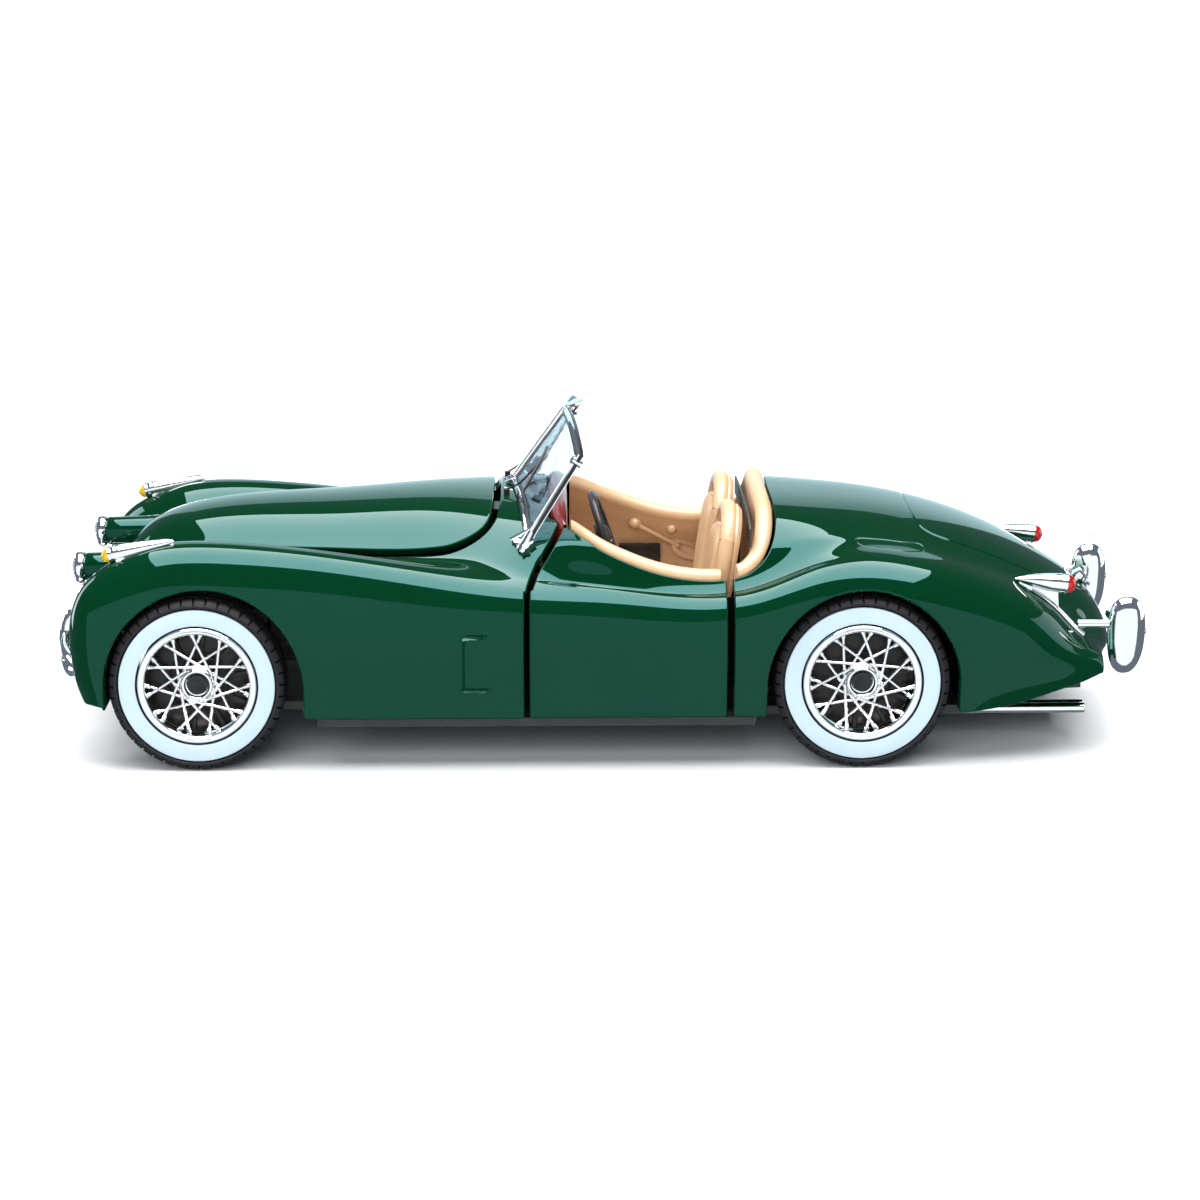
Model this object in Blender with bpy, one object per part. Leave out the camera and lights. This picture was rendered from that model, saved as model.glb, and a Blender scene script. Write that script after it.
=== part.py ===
"""Diecast collector roadster, about 1:24, as an assembly of separate solids.

Written in millimetres and placed in metres. X runs from the nose to the tail, Y from the
car's left to its right, Z up from the ground. Lengths are first laid out from mid wheelbase;
ORIGIN_X then moves the origin to the middle of the overall length.
"""
import math

import bmesh
import bpy
import numpy as np
from mathutils import Vector

MM = 0.001

# Driving dimensions, mm
WHEELBASE = 108.0
BODY_HALF_WIDTH = 33.0
SKIN = 1.3
TYRE_RADIUS = 14.4
TYRE_WIDTH = 7.0
TYRE_FACE_Y = 30.8
WHITEWALL_OUTER = TYRE_RADIUS - 1.75
WHITEWALL_THICK = 0.45
RIM_RADIUS = 9.8
TYRE_BORE = RIM_RADIUS + 0.3
RIM_WINDOW = 8.4
HUB_RADIUS = 3.1
HUB_RECESS = 2.05
SPOKES = 12
SPOKE_WIDTH = 0.7
AXLE_RADIUS = 0.9
AXLE_HEAD = 1.5
KINGPIN_Y = 21.5
KINGPIN_RADIUS = 0.9
STEER_ARM = 6.5
TIE_PIN = 0.5
PLATE_BOTTOM = 7.0
PLATE_TOP = 8.4
HOOD_GAP = 1.1
DOOR_FRONT_GAP = 0.8
DOOR_REAR_GAP = 1.25
DOOR_PIN_RADIUS = 0.6
DOOR_PIN_BACK = 4.2
DOOR_PIN_INSET = 2.6
HOOD_PIN_RADIUS = 0.6
RIM_ROLL = 1.45
FRAME_TUBE = 0.55
COLUMN_RADIUS = 1.0
GLASS = 0.5
SCREW_RADIUS = 0.9
SCREW_HEAD = 1.8
SEAT_GAP = 0.3
RUN_GAP = 0.1
LOOSE_GAP = 0.35
FLAT_LIMIT = 0.0005

AXLE_X = WHEELBASE / 2
FRONT_END = -25.0 - AXLE_X
REAR_END = 48.0 + AXLE_X
ORIGIN_X = (FRONT_END + REAR_END) / 2

# The styled surface is laid out for this wheelbase and half width, then stretched.
STYLE_AXLE = 54.0
STYLE_HALF_WIDTH = 33.0

GREEN = (0.004, 0.075, 0.028)
BEIGE = (0.72, 0.47, 0.27)
CHROME = (0.80, 0.80, 0.80)
BLACK = (0.02, 0.02, 0.02)


def sx(x):
    """Styled x to real x: stretched between the axles, carried along beyond them."""
    if abs(x) <= STYLE_AXLE:
        return x * AXLE_X / STYLE_AXLE
    return x + math.copysign(AXLE_X - STYLE_AXLE, x)


def sy(y):
    """Styled y to real y."""
    return y * BODY_HALF_WIDTH / STYLE_HALF_WIDTH


# Body surface: hoops from the nose to the tail. Each has ten points, from the centreline
# over the hood side, valley, fender crown and flank down to the lower edge.
# A hoop is (x or ten x, ten y, ten z).
HOOPS = [
    # under the nose
    ([-69.0, -69.0, -68.6, -68.3, -69.2, -70.3, -71.0, -71.6, -71.9, -72.0],
     [0, 6, 11, 15, 18.5, 21, 22.8, 24, 25, 26],
     [13.5, 13.5, 13.4, 13.0, 12.4, 11.9, 11.4, 11.1, 10.95, 10.9]),
    # bumper height
    ([-72.0, -71.6, -70.2, -68.9, -70.6, -73.1, -74.3, -74.2, -73.5, -72.5],
     [0, 6, 11, 15, 19, 22.5, 25, 26.8, 27.8, 28.4],
     [17.5, 17.5, 17.3, 17, 18, 18.5, 17.5, 15.5, 13.2, 11]),
    # middle of the grille
    ([-72.6, -72.2, -70.6, -68.7, -70.8, -73.8, -74.6, -73.5, -72.3, -71.0],
     [0, 6, 11, 15, 19, 23.5, 27, 29.6, 30.3, 30.3],
     [22.5, 22.5, 22.3, 22, 24, 25.8, 24, 19.5, 15, 11]),
    # top of the grille
    ([-71.0, -70.6, -69.0, -66.5, -68.4, -71.0, -71.6, -70.4, -69.5, -68.8],
     [0, 6, 10.6, 14.8, 19.5, 24.5, 28.8, 31.3, 31.7, 31.2],
     [27.2, 27.1, 26.8, 26.4, 29.6, 31.4, 28.8, 21.5, 15.5, 10.6]),
    # hood nose
    ([-67.5, -67.0, -65.2, -62.6, -63.8, -65.4, -65.7, -65.5, -65.5, -65.5],
     [0, 5.8, 10, 14.6, 20, 25, 29.3, 32.0, 32.3, 31.4],
     [31.4, 31.0, 29.7, 29.2, 33.6, 34.8, 31.4, 22, 15.5, 10]),
    ([-62.2, -61.5, -59.5, -58, -57.5, -58, -58, -58, -58, -58],
     [0, 5.6, 10, 14.8, 20, 25.2, 29.6, 32.4, 32.6, 31.6],
     [36.2, 35.6, 33.4, 31.4, 35.4, 36.7, 33.2, 22.5, 15.5, 9.5]),
    # over the front axle
    ([-50, -49.5, -48.5, -47.5, -47, -47, -47, -47, -47, -47],
     [0, 6, 11, 16, 20.8, 25.4, 29.8, 32.6, 32.6, 31.6],
     [39.1, 38.4, 35.8, 32.2, 35.5, 36.6, 33.2, 22.5, 15.5, 9]),
    (-33, [0, 6.8, 12.4, 17.6, 21.8, 26, 30, 32.6, 32.4, 31.4],
     [40.1, 39.3, 36.6, 32.8, 34.5, 35.2, 32.0, 22, 15, 8.6]),
    (-17, [0, 8, 14, 19.5, 23, 27, 30.5, 32.6, 32.3, 31.3],
     [41.2, 40.4, 37.6, 33.0, 33.0, 32.8, 29.6, 21.5, 15, 8.6]),
    # cowl
    (-3, [0, 9.2, 16.5, 22, 25, 28, 31, 32.6, 32.2, 31.2],
     [41.3, 40.7, 38.6, 35, 32.4, 30.8, 28, 21, 14.5, 8.6]),
    # doors
    (11, [0, 10, 18, 23.8, 26.8, 29, 31.2, 32.6, 32.2, 31.2],
     [40.8, 40.4, 38.6, 35.2, 31.6, 29.6, 26.8, 20.5, 14.5, 8.7]),
    (24, [0, 10, 18, 23.5, 26.8, 29.3, 31.4, 32.7, 32.2, 31.2],
     [39.6, 39.2, 36.8, 32.4, 29.8, 28.4, 25.8, 20, 14.5, 8.7]),
    (36, [0, 9, 16.5, 22.5, 26, 29.2, 31.6, 32.9, 32.3, 31.2],
     [40.8, 40.4, 38.5, 33.5, 30.4, 29.2, 26.8, 20.5, 14.5, 8.8]),
    # rear fender and deck
    (47, [0, 9, 16, 21.5, 25, 28.7, 31.6, 33, 32.4, 31.3],
     [40.4, 40, 38.3, 35.6, 34.3, 33.0, 29.5, 21.5, 14.5, 8.8]),
    (58, [0, 8.6, 15.2, 20.6, 24.2, 28.2, 31.3, 32.9, 32.3, 31],
     [39.3, 38.9, 37.3, 35.4, 34.9, 33.6, 29.8, 21.5, 14.5, 8.9]),
    (69, [0, 8, 14, 19.2, 23, 27, 30.2, 31.7, 31.2, 29.8],
     [36.8, 36.4, 35.0, 33.2, 32.5, 31.3, 27.8, 20.8, 14.5, 8.7]),
    (79, [0, 7, 12.5, 17.2, 21, 24.8, 27.9, 29.4, 29, 27.8],
     [33.1, 32.7, 31.4, 29.6, 28.8, 27.7, 24.8, 19.4, 14.2, 9.8]),
    # tail
    ([88, 87.8, 87.3, 86.6, 86.2, 85.8, 85.6, 85.8, 86, 86],
     [0, 6.2, 11.3, 15.8, 19.4, 22.8, 25.5, 27, 26.9, 26.2],
     [28.2, 27.8, 26.6, 25.0, 24.6, 23.6, 21.3, 17.8, 14.4, 11.6]),
    ([94.8, 94.6, 93.5, 91.6, 90.4, 89.9, 89.9, 90.4, 90.8, 91.0],
     [0, 6, 11, 15.4, 18.6, 21.4, 23.6, 24.9, 25, 24.4],
     [23.0, 22.8, 22.0, 21.0, 20.5, 19.8, 18.6, 16.8, 14.6, 12.8]),
    ([98.0, 97.7, 96.9, 95.6, 94.8, 94.5, 94.4, 94.4, 94.4, 94.4],
     [0, 6, 11, 15, 17.9, 20, 21.8, 22.8, 23.1, 22.9],
     [17.2, 17.1, 16.9, 16.9, 16.9, 16.8, 16.4, 15.6, 14.8, 14.0]),
    ([97.6, 97.3, 96.4, 95.2, 94.6, 94.2, 94.0, 93.9, 93.8, 93.7],
     [0, 6, 11, 14.9, 17.6, 19.6, 21.2, 22.1, 22.6, 22.6],
     [14.4, 14.4, 14.4, 14.4, 14.4, 14.3, 14.1, 13.8, 13.6, 13.4]),
]

# Hood shut line, plan view, one half from the nose to the cowl
HOOD_LINE = [(-68.4, 0), (-68.1, 3.8), (-67.0, 7.0), (-64.5, 9.2), (-60, 10.8), (-50, 13.3),
             (-42, 15.0), (-30, 16.8), (-16.6, 18.7), (-12.4, 19.0), (-8.6, 18.1),
             (-6.6, 16.2), (-5.8, 13), (-5.5, 8), (-5.5, 0)]
# Cockpit opening, plan view, one half from the dash to the rear deck
COCKPIT_LINE = [(3, 0), (3, 15), (4.4, 17.6), (6, 19.2), (9, 21.8), (12.5, 23.8), (18, 24.9),
                (24, 25.2), (30, 25.2), (34, 24.9), (36.5, 24.1), (38.7, 22.3), (40, 19.3),
                (40.4, 15), (40.2, 9), (40, 0)]
DOOR_FRONT_X = -0.5
DOOR_REAR_X = 32.6


def net_control():
    """Control net whose uniform cubic B-spline passes through the hoops' points."""
    points = np.zeros((len(HOOPS), 10, 3))
    for i, (x, y, z) in enumerate(HOOPS):
        points[i, :, 0] = x
        points[i, :, 1] = y
        points[i, :, 2] = z
    rows, cols = np.meshgrid(np.arange(len(HOOPS)), np.arange(10), indexing="ij")
    control = points.copy()
    for _ in range(3):
        control += points - spline(padded(control), rows * 1.0, cols * 1.0)
    return padded(control)


def padded(control):
    """Adds a row past each end, the mirror column at the centreline and one at the edge."""
    control = np.concatenate([2 * control[:1] - control[1:2], control,
                              2 * control[-1:] - control[-2:-1]], 0)
    mirror = control[:, 1:2] * np.array([1, -1, 1])
    return np.concatenate([mirror, control, 2 * control[:, -1:] - control[:, -2:-1]], 1)


def weights(t, count):
    """Cell index and the four cubic B-spline weights."""
    cell = np.clip(np.floor(t).astype(int), 0, count - 2)
    f = t - cell
    w = np.stack([(1 - f) ** 3, 3 * f ** 3 - 6 * f ** 2 + 4,
                  -3 * f ** 3 + 3 * f ** 2 + 3 * f + 1, f ** 3], -1) / 6
    return cell, w


def spline(control, u, v):
    """Surface points at hoop parameter u and guide parameter v."""
    i, wu = weights(u, control.shape[0] - 2)
    j, wv = weights(v, control.shape[1] - 2)
    total = 0
    for a in range(4):
        for b in range(4):
            total = total + control[i + a, j + b] * (wu[..., a] * wv[..., b])[..., None]
    return total


NET = net_control()
LAST_HOOP = 19.3
STATIONS = 31
GUIDES = 11


def stretched(points):
    """Applies the styled to real stretch to an array of points."""
    out = points.copy()
    inside = np.clip(points[..., 0], -STYLE_AXLE, STYLE_AXLE)
    out[..., 0] = inside * AXLE_X / STYLE_AXLE + points[..., 0] - inside
    out[..., 1] *= BODY_HALF_WIDTH / STYLE_HALF_WIDTH
    return out


def skin_grid(stations, guides):
    """Points and outward normals of the half surface on the car's right."""
    u, v = np.meshgrid(np.linspace(0, LAST_HOOP, stations), np.linspace(0, 9, guides),
                       indexing="ij")
    step = 0.01
    at = stretched(spline(NET, u, v))
    along = stretched(spline(NET, u + step, v)) - stretched(spline(NET, u - step, v))
    across = stretched(spline(NET, u, v + step)) - stretched(spline(NET, u, v - step))
    normal = np.cross(along, across)
    normal /= np.linalg.norm(normal, axis=-1, keepdims=True)
    return at, normal


def skin_z(x, y):
    """Height of the upper skin over the plan point x, y (mm, real)."""
    at, _ = SKIN_SAMPLES
    gap = (at[..., 0] - x) ** 2 + (at[..., 1] - abs(y)) ** 2
    near = np.argsort(gap[:, :70], axis=None)[:6]
    w = 1 / (gap[:, :70].flatten()[near] + 1e-4)
    return float((at[:, :70, 2].flatten()[near] * w).sum() / w.sum())


SKIN_SAMPLES = skin_grid(241, 91)


# Mesh helpers


def material(name, color, roughness, metallic=0.0):
    if name in bpy.data.materials:
        return bpy.data.materials[name]
    mat = bpy.data.materials.new(name)
    mat.use_nodes = True
    shader = mat.node_tree.nodes["Principled BSDF"]
    shader.inputs["Base Color"].default_value = (*color, 1)
    shader.inputs["Roughness"].default_value = roughness
    shader.inputs["Metallic"].default_value = metallic
    mat.diffuse_color = (*color, 1)
    return mat


def paint():
    return material("green_paint", GREEN, 0.08)


def chrome():
    return material("chrome", CHROME, 0.06, 1.0)


def beige():
    return material("beige_plastic", BEIGE, 0.45)


def black():
    return material("black_plastic", BLACK, 0.5)


def bent(face):
    """True where a face's corners aren't in one plane, which a Boolean needs them to be."""
    centre, normal = face.calc_center_median(), face.normal
    return max(abs((v.co - centre).dot(normal)) for v in face.verts) > FLAT_LIMIT * MM


def solid(name, verts, faces, mat, origin=(0, 0, 0), smooth=False):
    """Object from mm vertices and faces, with its origin at the given mm point."""
    base = np.array(origin, float)
    place = np.array([-ORIGIN_X, 0, 0])
    bm = bmesh.new()
    made = [bm.verts.new((np.array(v, float) - base) * MM) for v in verts]
    for face in faces:
        bm.faces.new([made[i] for i in face])
    bmesh.ops.recalc_face_normals(bm, faces=bm.faces)
    bmesh.ops.triangulate(bm, faces=[f for f in bm.faces if bent(f)])
    mesh = bpy.data.meshes.new(name)
    bm.to_mesh(mesh)
    bm.free()
    mesh.materials.append(mat)
    if smooth:
        mesh.shade_smooth()
        mesh.set_sharp_from_angle(angle=math.radians(40))
    obj = bpy.data.objects.new(name, mesh)
    obj.location = (base + place) * MM
    bpy.context.scene.collection.objects.link(obj)
    return obj


def box(x, y, z):
    """Vertices and faces of a box between the pairs x, y and z."""
    verts = [(a, b, c) for a in x for b in y for c in z]
    faces = [(0, 1, 3, 2), (4, 6, 7, 5), (0, 4, 5, 1), (2, 3, 7, 6), (0, 2, 6, 4), (1, 5, 7, 3)]
    return verts, faces


def loft(rings, closed=False):
    """Skin over rings with equal point counts; the two ends are capped unless closed."""
    count = len(rings[0])
    verts = [p for ring in rings for p in ring]
    faces = []
    spans = len(rings) if closed else len(rings) - 1
    for i in range(spans):
        a, b = i * count, ((i + 1) % len(rings)) * count
        for k in range(count):
            n = (k + 1) % count
            faces.append((a + k, a + n, b + n, b + k))
    if not closed:
        faces.append(tuple(range(count)))
        faces.append(tuple(range(len(verts) - count, len(verts))))
    return verts, faces


def prism(outline, axis, low, high):
    """Extrudes a 2-D outline along an axis; the outline uses the other two axes in order."""
    def point(p, level):
        q = list(p)
        q.insert(axis, level)
        return tuple(q)
    return loft([[point(p, low) for p in outline], [point(p, high) for p in outline]])


def circle(radius, count, phase=0.0):
    return [(radius * math.cos(phase + 2 * math.pi * k / count),
             radius * math.sin(phase + 2 * math.pi * k / count)) for k in range(count)]


def turned(profile, axis, centre, count):
    """Closed turned ring or body; profile is (radius, distance along the axis).

    A profile that starts and ends at radius 0 gives a solid with pole points.
    """
    cx, cy, cz = centre
    poles = profile[0][0] == 0

    def ring(radius, level):
        out = []
        for a, b in circle(radius, count):
            p = [a, b]
            p.insert(axis, level)
            out.append((cx + p[0], cy + p[1], cz + p[2]))
        return out
    if not poles:
        return loft([ring(r, d) for r, d in profile], closed=True)
    body = [ring(r, d) for r, d in profile[1:-1]]
    verts = [p for r in body for p in r]
    faces = []
    for i in range(len(body) - 1):
        for k in range(count):
            n = (k + 1) % count
            faces.append((i * count + k, i * count + n, (i + 1) * count + n, (i + 1) * count + k))
    for end, (_, level), first in ((0, profile[0], 0), (1, profile[-1], len(verts) - count)):
        tip = [0, 0]
        tip.insert(axis, level)
        verts.append((cx + tip[0], cy + tip[1], cz + tip[2]))
        pole = len(verts) - 1
        for k in range(count):
            faces.append((first + k, first + (k + 1) % count, pole))
    return verts, faces


def rod(start, end, radius, count=12):
    """Straight round bar between two points."""
    return swept([start, end], [circle(radius, count)] * 2)


def swept(path, sections, closed=False):
    """Carries 2-D sections along a path, with the section's second axis kept upright."""
    path = [Vector(p) for p in path]
    rings = []
    for i, p in enumerate(path):
        before = path[i - 1] if i or closed else p
        after = path[(i + 1) % len(path)] if i + 1 < len(path) or closed else p
        ahead = (after - before).normalized()
        up = Vector((0, 0, 1)) if abs(ahead.z) < 0.9 else Vector((1, 0, 0))
        side = ahead.cross(up).normalized()
        up = side.cross(ahead)
        rings.append([tuple(p + side * a + up * b) for a, b in sections[i % len(sections)]])
    return loft(rings, closed)


def mirrored(shape):
    verts, faces = shape
    return [(x, -y, z) for x, y, z in verts], faces


def combine(obj, shape, how):
    """Boolean of obj with a shape given as vertices and faces."""
    tool = solid(obj.name + "_tool", *shape, obj.data.materials[0])
    mod = obj.modifiers.new("cut", "BOOLEAN")
    mod.object = tool
    mod.operation = how
    mod.solver = "EXACT"
    bpy.context.view_layer.update()
    graph = bpy.context.evaluated_depsgraph_get()
    mesh = bpy.data.meshes.new_from_object(obj.evaluated_get(graph))
    obj.modifiers.clear()
    old = obj.data
    obj.data = mesh
    bpy.data.meshes.remove(old)
    bpy.data.objects.remove(tool)
    mesh.name = obj.name
    return obj


def cut(obj, *shapes):
    for shape in shapes:
        combine(obj, shape, "DIFFERENCE")
    return obj


def join(obj, *shapes):
    for shape in shapes:
        combine(obj, shape, "UNION")
    return obj


def keep(obj, shape):
    return combine(obj, shape, "INTERSECT")


def body_sheet(outside, inside, stations=STATIONS, guides=GUIDES):
    """Closed sheet that follows the whole body surface between two offsets."""
    at, normal = skin_grid(stations, guides)
    normal = normal.copy()
    normal[:, 0, 1] = 0
    flip = np.array([1, -1, 1])
    layers = []
    for offset in (outside, inside):
        half = at + normal * offset
        half[:, 0, 1] = 0
        layers.append(np.concatenate([(half * flip)[:, :0:-1], half], 1))
    rows, cols = layers[0].shape[:2]
    verts = [tuple(p) for layer in layers for p in layer.reshape(-1, 3)]
    size = rows * cols
    faces = []
    for r in range(rows - 1):
        for c in range(cols - 1):
            quad = (r * cols + c, r * cols + c + 1, (r + 1) * cols + c + 1, (r + 1) * cols + c)
            faces.append(quad)
            faces.append(tuple(i + size for i in quad[::-1]))
    rim = [c for c in range(cols)] + [r * cols + cols - 1 for r in range(1, rows)]
    rim += [(rows - 1) * cols + c for c in range(cols - 2, -1, -1)]
    rim += [r * cols for r in range(rows - 2, 0, -1)]
    for k, a in enumerate(rim):
        b = rim[(k + 1) % len(rim)]
        faces.append((a, b, b + size, a + size))
    return verts, faces


def grown(outline, distance):
    """Moves a closed plan outline outwards by a distance."""
    count = len(outline)
    out = []
    area = sum(outline[i][0] * outline[(i + 1) % count][1]
               - outline[(i + 1) % count][0] * outline[i][1] for i in range(count))
    sign = 1 if area > 0 else -1
    for i in range(count):
        (x0, y0), (x1, y1) = outline[i - 1], outline[(i + 1) % count]
        dx, dy = x1 - x0, y1 - y0
        length = math.hypot(dx, dy)
        x, y = outline[i]
        out.append((x + sign * distance * dy / length, y - sign * distance * dx / length))
    return out


def whole(line):
    """Full plan outline from a half line that starts and ends on the centreline."""
    right = [(sx(x), sy(y)) for x, y in line]
    return right + [(x, -y) for x, y in right[-2:0:-1]]


def arch(centre_x, centre_z, radius, side):
    """Wheel opening: a round top over straight sides, on one side of the car."""
    steps = 20
    outline = [(centre_x + radius * math.cos(math.pi * k / steps),
                centre_z + radius * math.sin(math.pi * k / steps)) for k in range(steps + 1)]
    outline += [(centre_x - radius, 0), (centre_x + radius, 0)]
    low, high = sorted((side * ARCH_INNER_Y, side * (BODY_HALF_WIDTH + 5)))
    return prism(outline, 1, low, high)


ARCH_INNER_Y = 20.5
FRONT_ARCH = (1.1 - AXLE_X, 14.1, 16.2)
REAR_ARCH = (0.2 + AXLE_X, 14.3, 15.7)


def door_prism(side, front_x, rear_x):
    """Side view of the door between its front and rear lines, as a sideways prism."""
    outline = [(front_x, 0), (front_x, 27.5), (front_x + 0.9, 30.8), (front_x + 3.1, 34.0),
               (front_x + 5.9, 38.5), (front_x + 5.9, 50), (rear_x, 50), (rear_x, 0)]
    low, high = sorted((side * sy(12), side * (BODY_HALF_WIDTH + 5)))
    return prism(outline, 1, low, high)


DOOR_FRONT = sx(DOOR_FRONT_X)
DOOR_REAR = sx(DOOR_REAR_X)
DOOR_PIN_X = DOOR_FRONT + DOOR_FRONT_GAP / 2 + DOOR_PIN_BACK
DOOR_PIN_Y = sy(32.65) - DOOR_PIN_INSET

NACELLE_Y = sy(13.7)
NACELLE_Z = 30.3
NACELLE_RADIUS = 2.35
NACELLE_FRONT = sx(-73.6)

RAIL_Z = (PLATE_TOP + 0.4, PLATE_TOP + 1.9)


def sill_rail():
    """Inner sill, one side: steps inboard where the door's front edge swings in."""
    outer, inner, notch = sy(31.2) - SKIN - 0.35, sy(25.3), sy(26.3)
    weld = sy(31.2) - 0.5
    a, b = DOOR_FRONT, DOOR_REAR
    outline = [(a - 9, weld), (a - 2.2, weld), (a - 2.2, notch), (DOOR_PIN_X + 2.4, notch),
               (DOOR_PIN_X + 2.4, outer), (b + 1.4, outer), (b + 1.4, weld), (b + 3.6, weld),
               (b + 3.6, inner), (a - 9, inner)]
    return prism(outline, 2, *RAIL_Z)


POST_RADIUS = 2.0
FRONT_POST = sx(-1.8)
REAR_POST = sx(66)


def body_shell():
    verts, faces = body_sheet(0, -SKIN)
    shell = solid("body_shell", verts, faces, paint())
    cut(shell, prism(grown(whole(HOOD_LINE), HOOD_GAP / 2), 2, 24, 60))
    cut(shell, prism(whole(COCKPIT_LINE), 2, 24, 60))
    for side in (-1, 1):
        cut(shell, door_prism(side, DOOR_FRONT - DOOR_FRONT_GAP / 2,
                              DOOR_REAR + DOOR_REAR_GAP / 2))
        cut(shell, arch(*FRONT_ARCH, side), arch(*REAR_ARCH, side))
    cut(shell, prism(grille_outline(0), 0, sx(-80), sx(-66)))
    for side in (-1, 1):
        nacelle = rod((NACELLE_FRONT, side * NACELLE_Y, NACELLE_Z),
                      (sx(-60.5), side * NACELLE_Y, NACELLE_Z + 0.4), NACELLE_RADIUS, 16)
        join(shell, nacelle)
        rail = sill_rail()
        join(shell, rail if side > 0 else mirrored(rail))
    for x in (FRONT_POST, REAR_POST):
        bore = SCREW_RADIUS + RUN_GAP
        top = skin_z(x, 0) - SKIN / 2
        join(shell, rod((x, 0, PLATE_TOP + SEAT_GAP), (x, 0, top), POST_RADIUS))
        cut(shell, rod((x, 0, PLATE_TOP - 1), (x, 0, PLATE_TOP + 8), bore))
    shell.data.shade_smooth()
    shell.data.set_sharp_from_angle(angle=math.radians(30))
    return shell


HOOD_PIN_X = sx(-5.5) - HOOD_GAP / 2 - 1.8
HOOD_PIN_Z = 38.9
LUG_Y = (3.4, 5.2)


def hood():
    verts, faces = body_sheet(0, -SKIN)
    panel = solid("hood", verts, faces, paint(), (HOOD_PIN_X, 0, HOOD_PIN_Z))
    keep(panel, prism(grown(whole(HOOD_LINE), -HOOD_GAP / 2), 2, 24, 60))
    top = skin_z(HOOD_PIN_X, 0) - SKIN / 2
    for side in (-1, 1):
        low, high = sorted((side * LUG_Y[0], side * LUG_Y[1]))
        lug = [(HOOD_PIN_X - 1.3, HOOD_PIN_Z - 1.3), (HOOD_PIN_X + 1.3, HOOD_PIN_Z - 1.3),
               (HOOD_PIN_X + 1.3, top), (HOOD_PIN_X - 1.3, top)]
        join(panel, prism(lug, 1, low, high))
        bore = HOOD_PIN_RADIUS + RUN_GAP
        cut(panel, rod((HOOD_PIN_X, side * 2, HOOD_PIN_Z), (HOOD_PIN_X, side * 6.5, HOOD_PIN_Z),
                       bore))
    panel.data.shade_smooth()
    panel.data.set_sharp_from_angle(angle=math.radians(30))
    return panel


def hood_hinge():
    """Pin under the cowl that the hood's two lugs turn on, with its bracket."""
    pin = rod((HOOD_PIN_X, -6.2, HOOD_PIN_Z), (HOOD_PIN_X, 6.2, HOOD_PIN_Z), HOOD_PIN_RADIUS)
    hinge = solid("hood_hinge", *pin, material("steel", (0.5, 0.5, 0.5), 0.35, 1.0))
    back = FRONT_POST - POST_RADIUS - SEAT_GAP
    x, z = HOOD_PIN_X, HOOD_PIN_Z
    web = [(x - 0.9, z - 3.2), (back, z - 3.2), (back, z - 1.4), (x + 1.0, z - 1.3),
           (x + 0.5, z + 0.3), (x - 0.5, z + 0.3)]
    join(hinge, prism(web, 1, -LUG_Y[0] + SEAT_GAP, LUG_Y[0] - SEAT_GAP))
    return hinge


DOOR_BARREL_Z = (15.2, 21.4)
BRACKET_ARM = 1.0


def door(side, name):
    verts, faces = body_sheet(0, -SKIN)
    centre = (DOOR_PIN_X, side * DOOR_PIN_Y, 18.5)
    panel = solid(name, verts, faces, paint(), centre)
    keep(panel, door_prism(side, DOOR_FRONT + DOOR_FRONT_GAP / 2, DOOR_REAR - DOOR_REAR_GAP / 2))
    cut(panel, prism(whole(COCKPIT_LINE), 2, 24, 60))
    x, y = DOOR_PIN_X, side * DOOR_PIN_Y
    barrel = DOOR_PIN_RADIUS + RUN_GAP + 0.6
    join(panel, rod((x, y, DOOR_BARREL_Z[0]), (x, y, DOOR_BARREL_Z[1]), barrel))
    web = sorted((y, side * (DOOR_PIN_Y + DOOR_PIN_INSET - SKIN / 2)))
    join(panel, box((x - 0.8, x + 0.8), web, (DOOR_BARREL_Z[0] + 0.2, DOOR_BARREL_Z[1] - 0.2)))
    cut(panel, rod((x, y, DOOR_BARREL_Z[0] - 1), (x, y, DOOR_BARREL_Z[1] + 1),
                   DOOR_PIN_RADIUS + RUN_GAP))
    panel.data.shade_smooth()
    panel.data.set_sharp_from_angle(angle=math.radians(30))
    return panel


def door_hinge(side, name):
    """Post inside the sill with two arms and the pin that the door's barrel turns on."""
    x, y = DOOR_PIN_X, DOOR_PIN_Y
    low, high = DOOR_BARREL_Z[0] - SEAT_GAP, DOOR_BARREL_Z[1] + SEAT_GAP
    post_y = (sy(24.0), sy(24.0) + 1.4)
    shape = box((x - 0.9, x + 0.9), post_y, (RAIL_Z[1] + SEAT_GAP, high + BRACKET_ARM))
    steel = material("steel", (0.5, 0.5, 0.5), 0.35, 1.0)
    place = (lambda s: s) if side > 0 else mirrored
    hinge = solid(name, *place(shape), steel)
    for z in (low - BRACKET_ARM, high):
        join(hinge, place(box((x - 0.7, x + 0.7), (post_y[0] + 0.5, y + 0.45),
                              (z, z + BRACKET_ARM))))
    join(hinge, place(rod((x, y, low - 0.4), (x, y, high + 0.4), DOOR_PIN_RADIUS)))
    return hinge


def opening_point(t):
    """Point on the cockpit line's side at fraction t of its plan length, with the skin's z."""
    line = [(sx(x), sy(y)) for x, y in COCKPIT_LINE]
    lengths = [0]
    for (x0, y0), (x1, y1) in zip(line, line[1:]):
        lengths.append(lengths[-1] + math.hypot(x1 - x0, y1 - y0))
    want = t * lengths[-1]
    for i in range(len(line) - 1):
        if want <= lengths[i + 1] + 1e-9:
            f = (want - lengths[i]) / (lengths[i + 1] - lengths[i])
            x = line[i][0] + f * (line[i + 1][0] - line[i][0])
            y = line[i][1] + f * (line[i + 1][1] - line[i][1])
            return x, y, skin_z(x, y)
    return line[-1][0], 0.0, skin_z(line[-1][0], 0)


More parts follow.
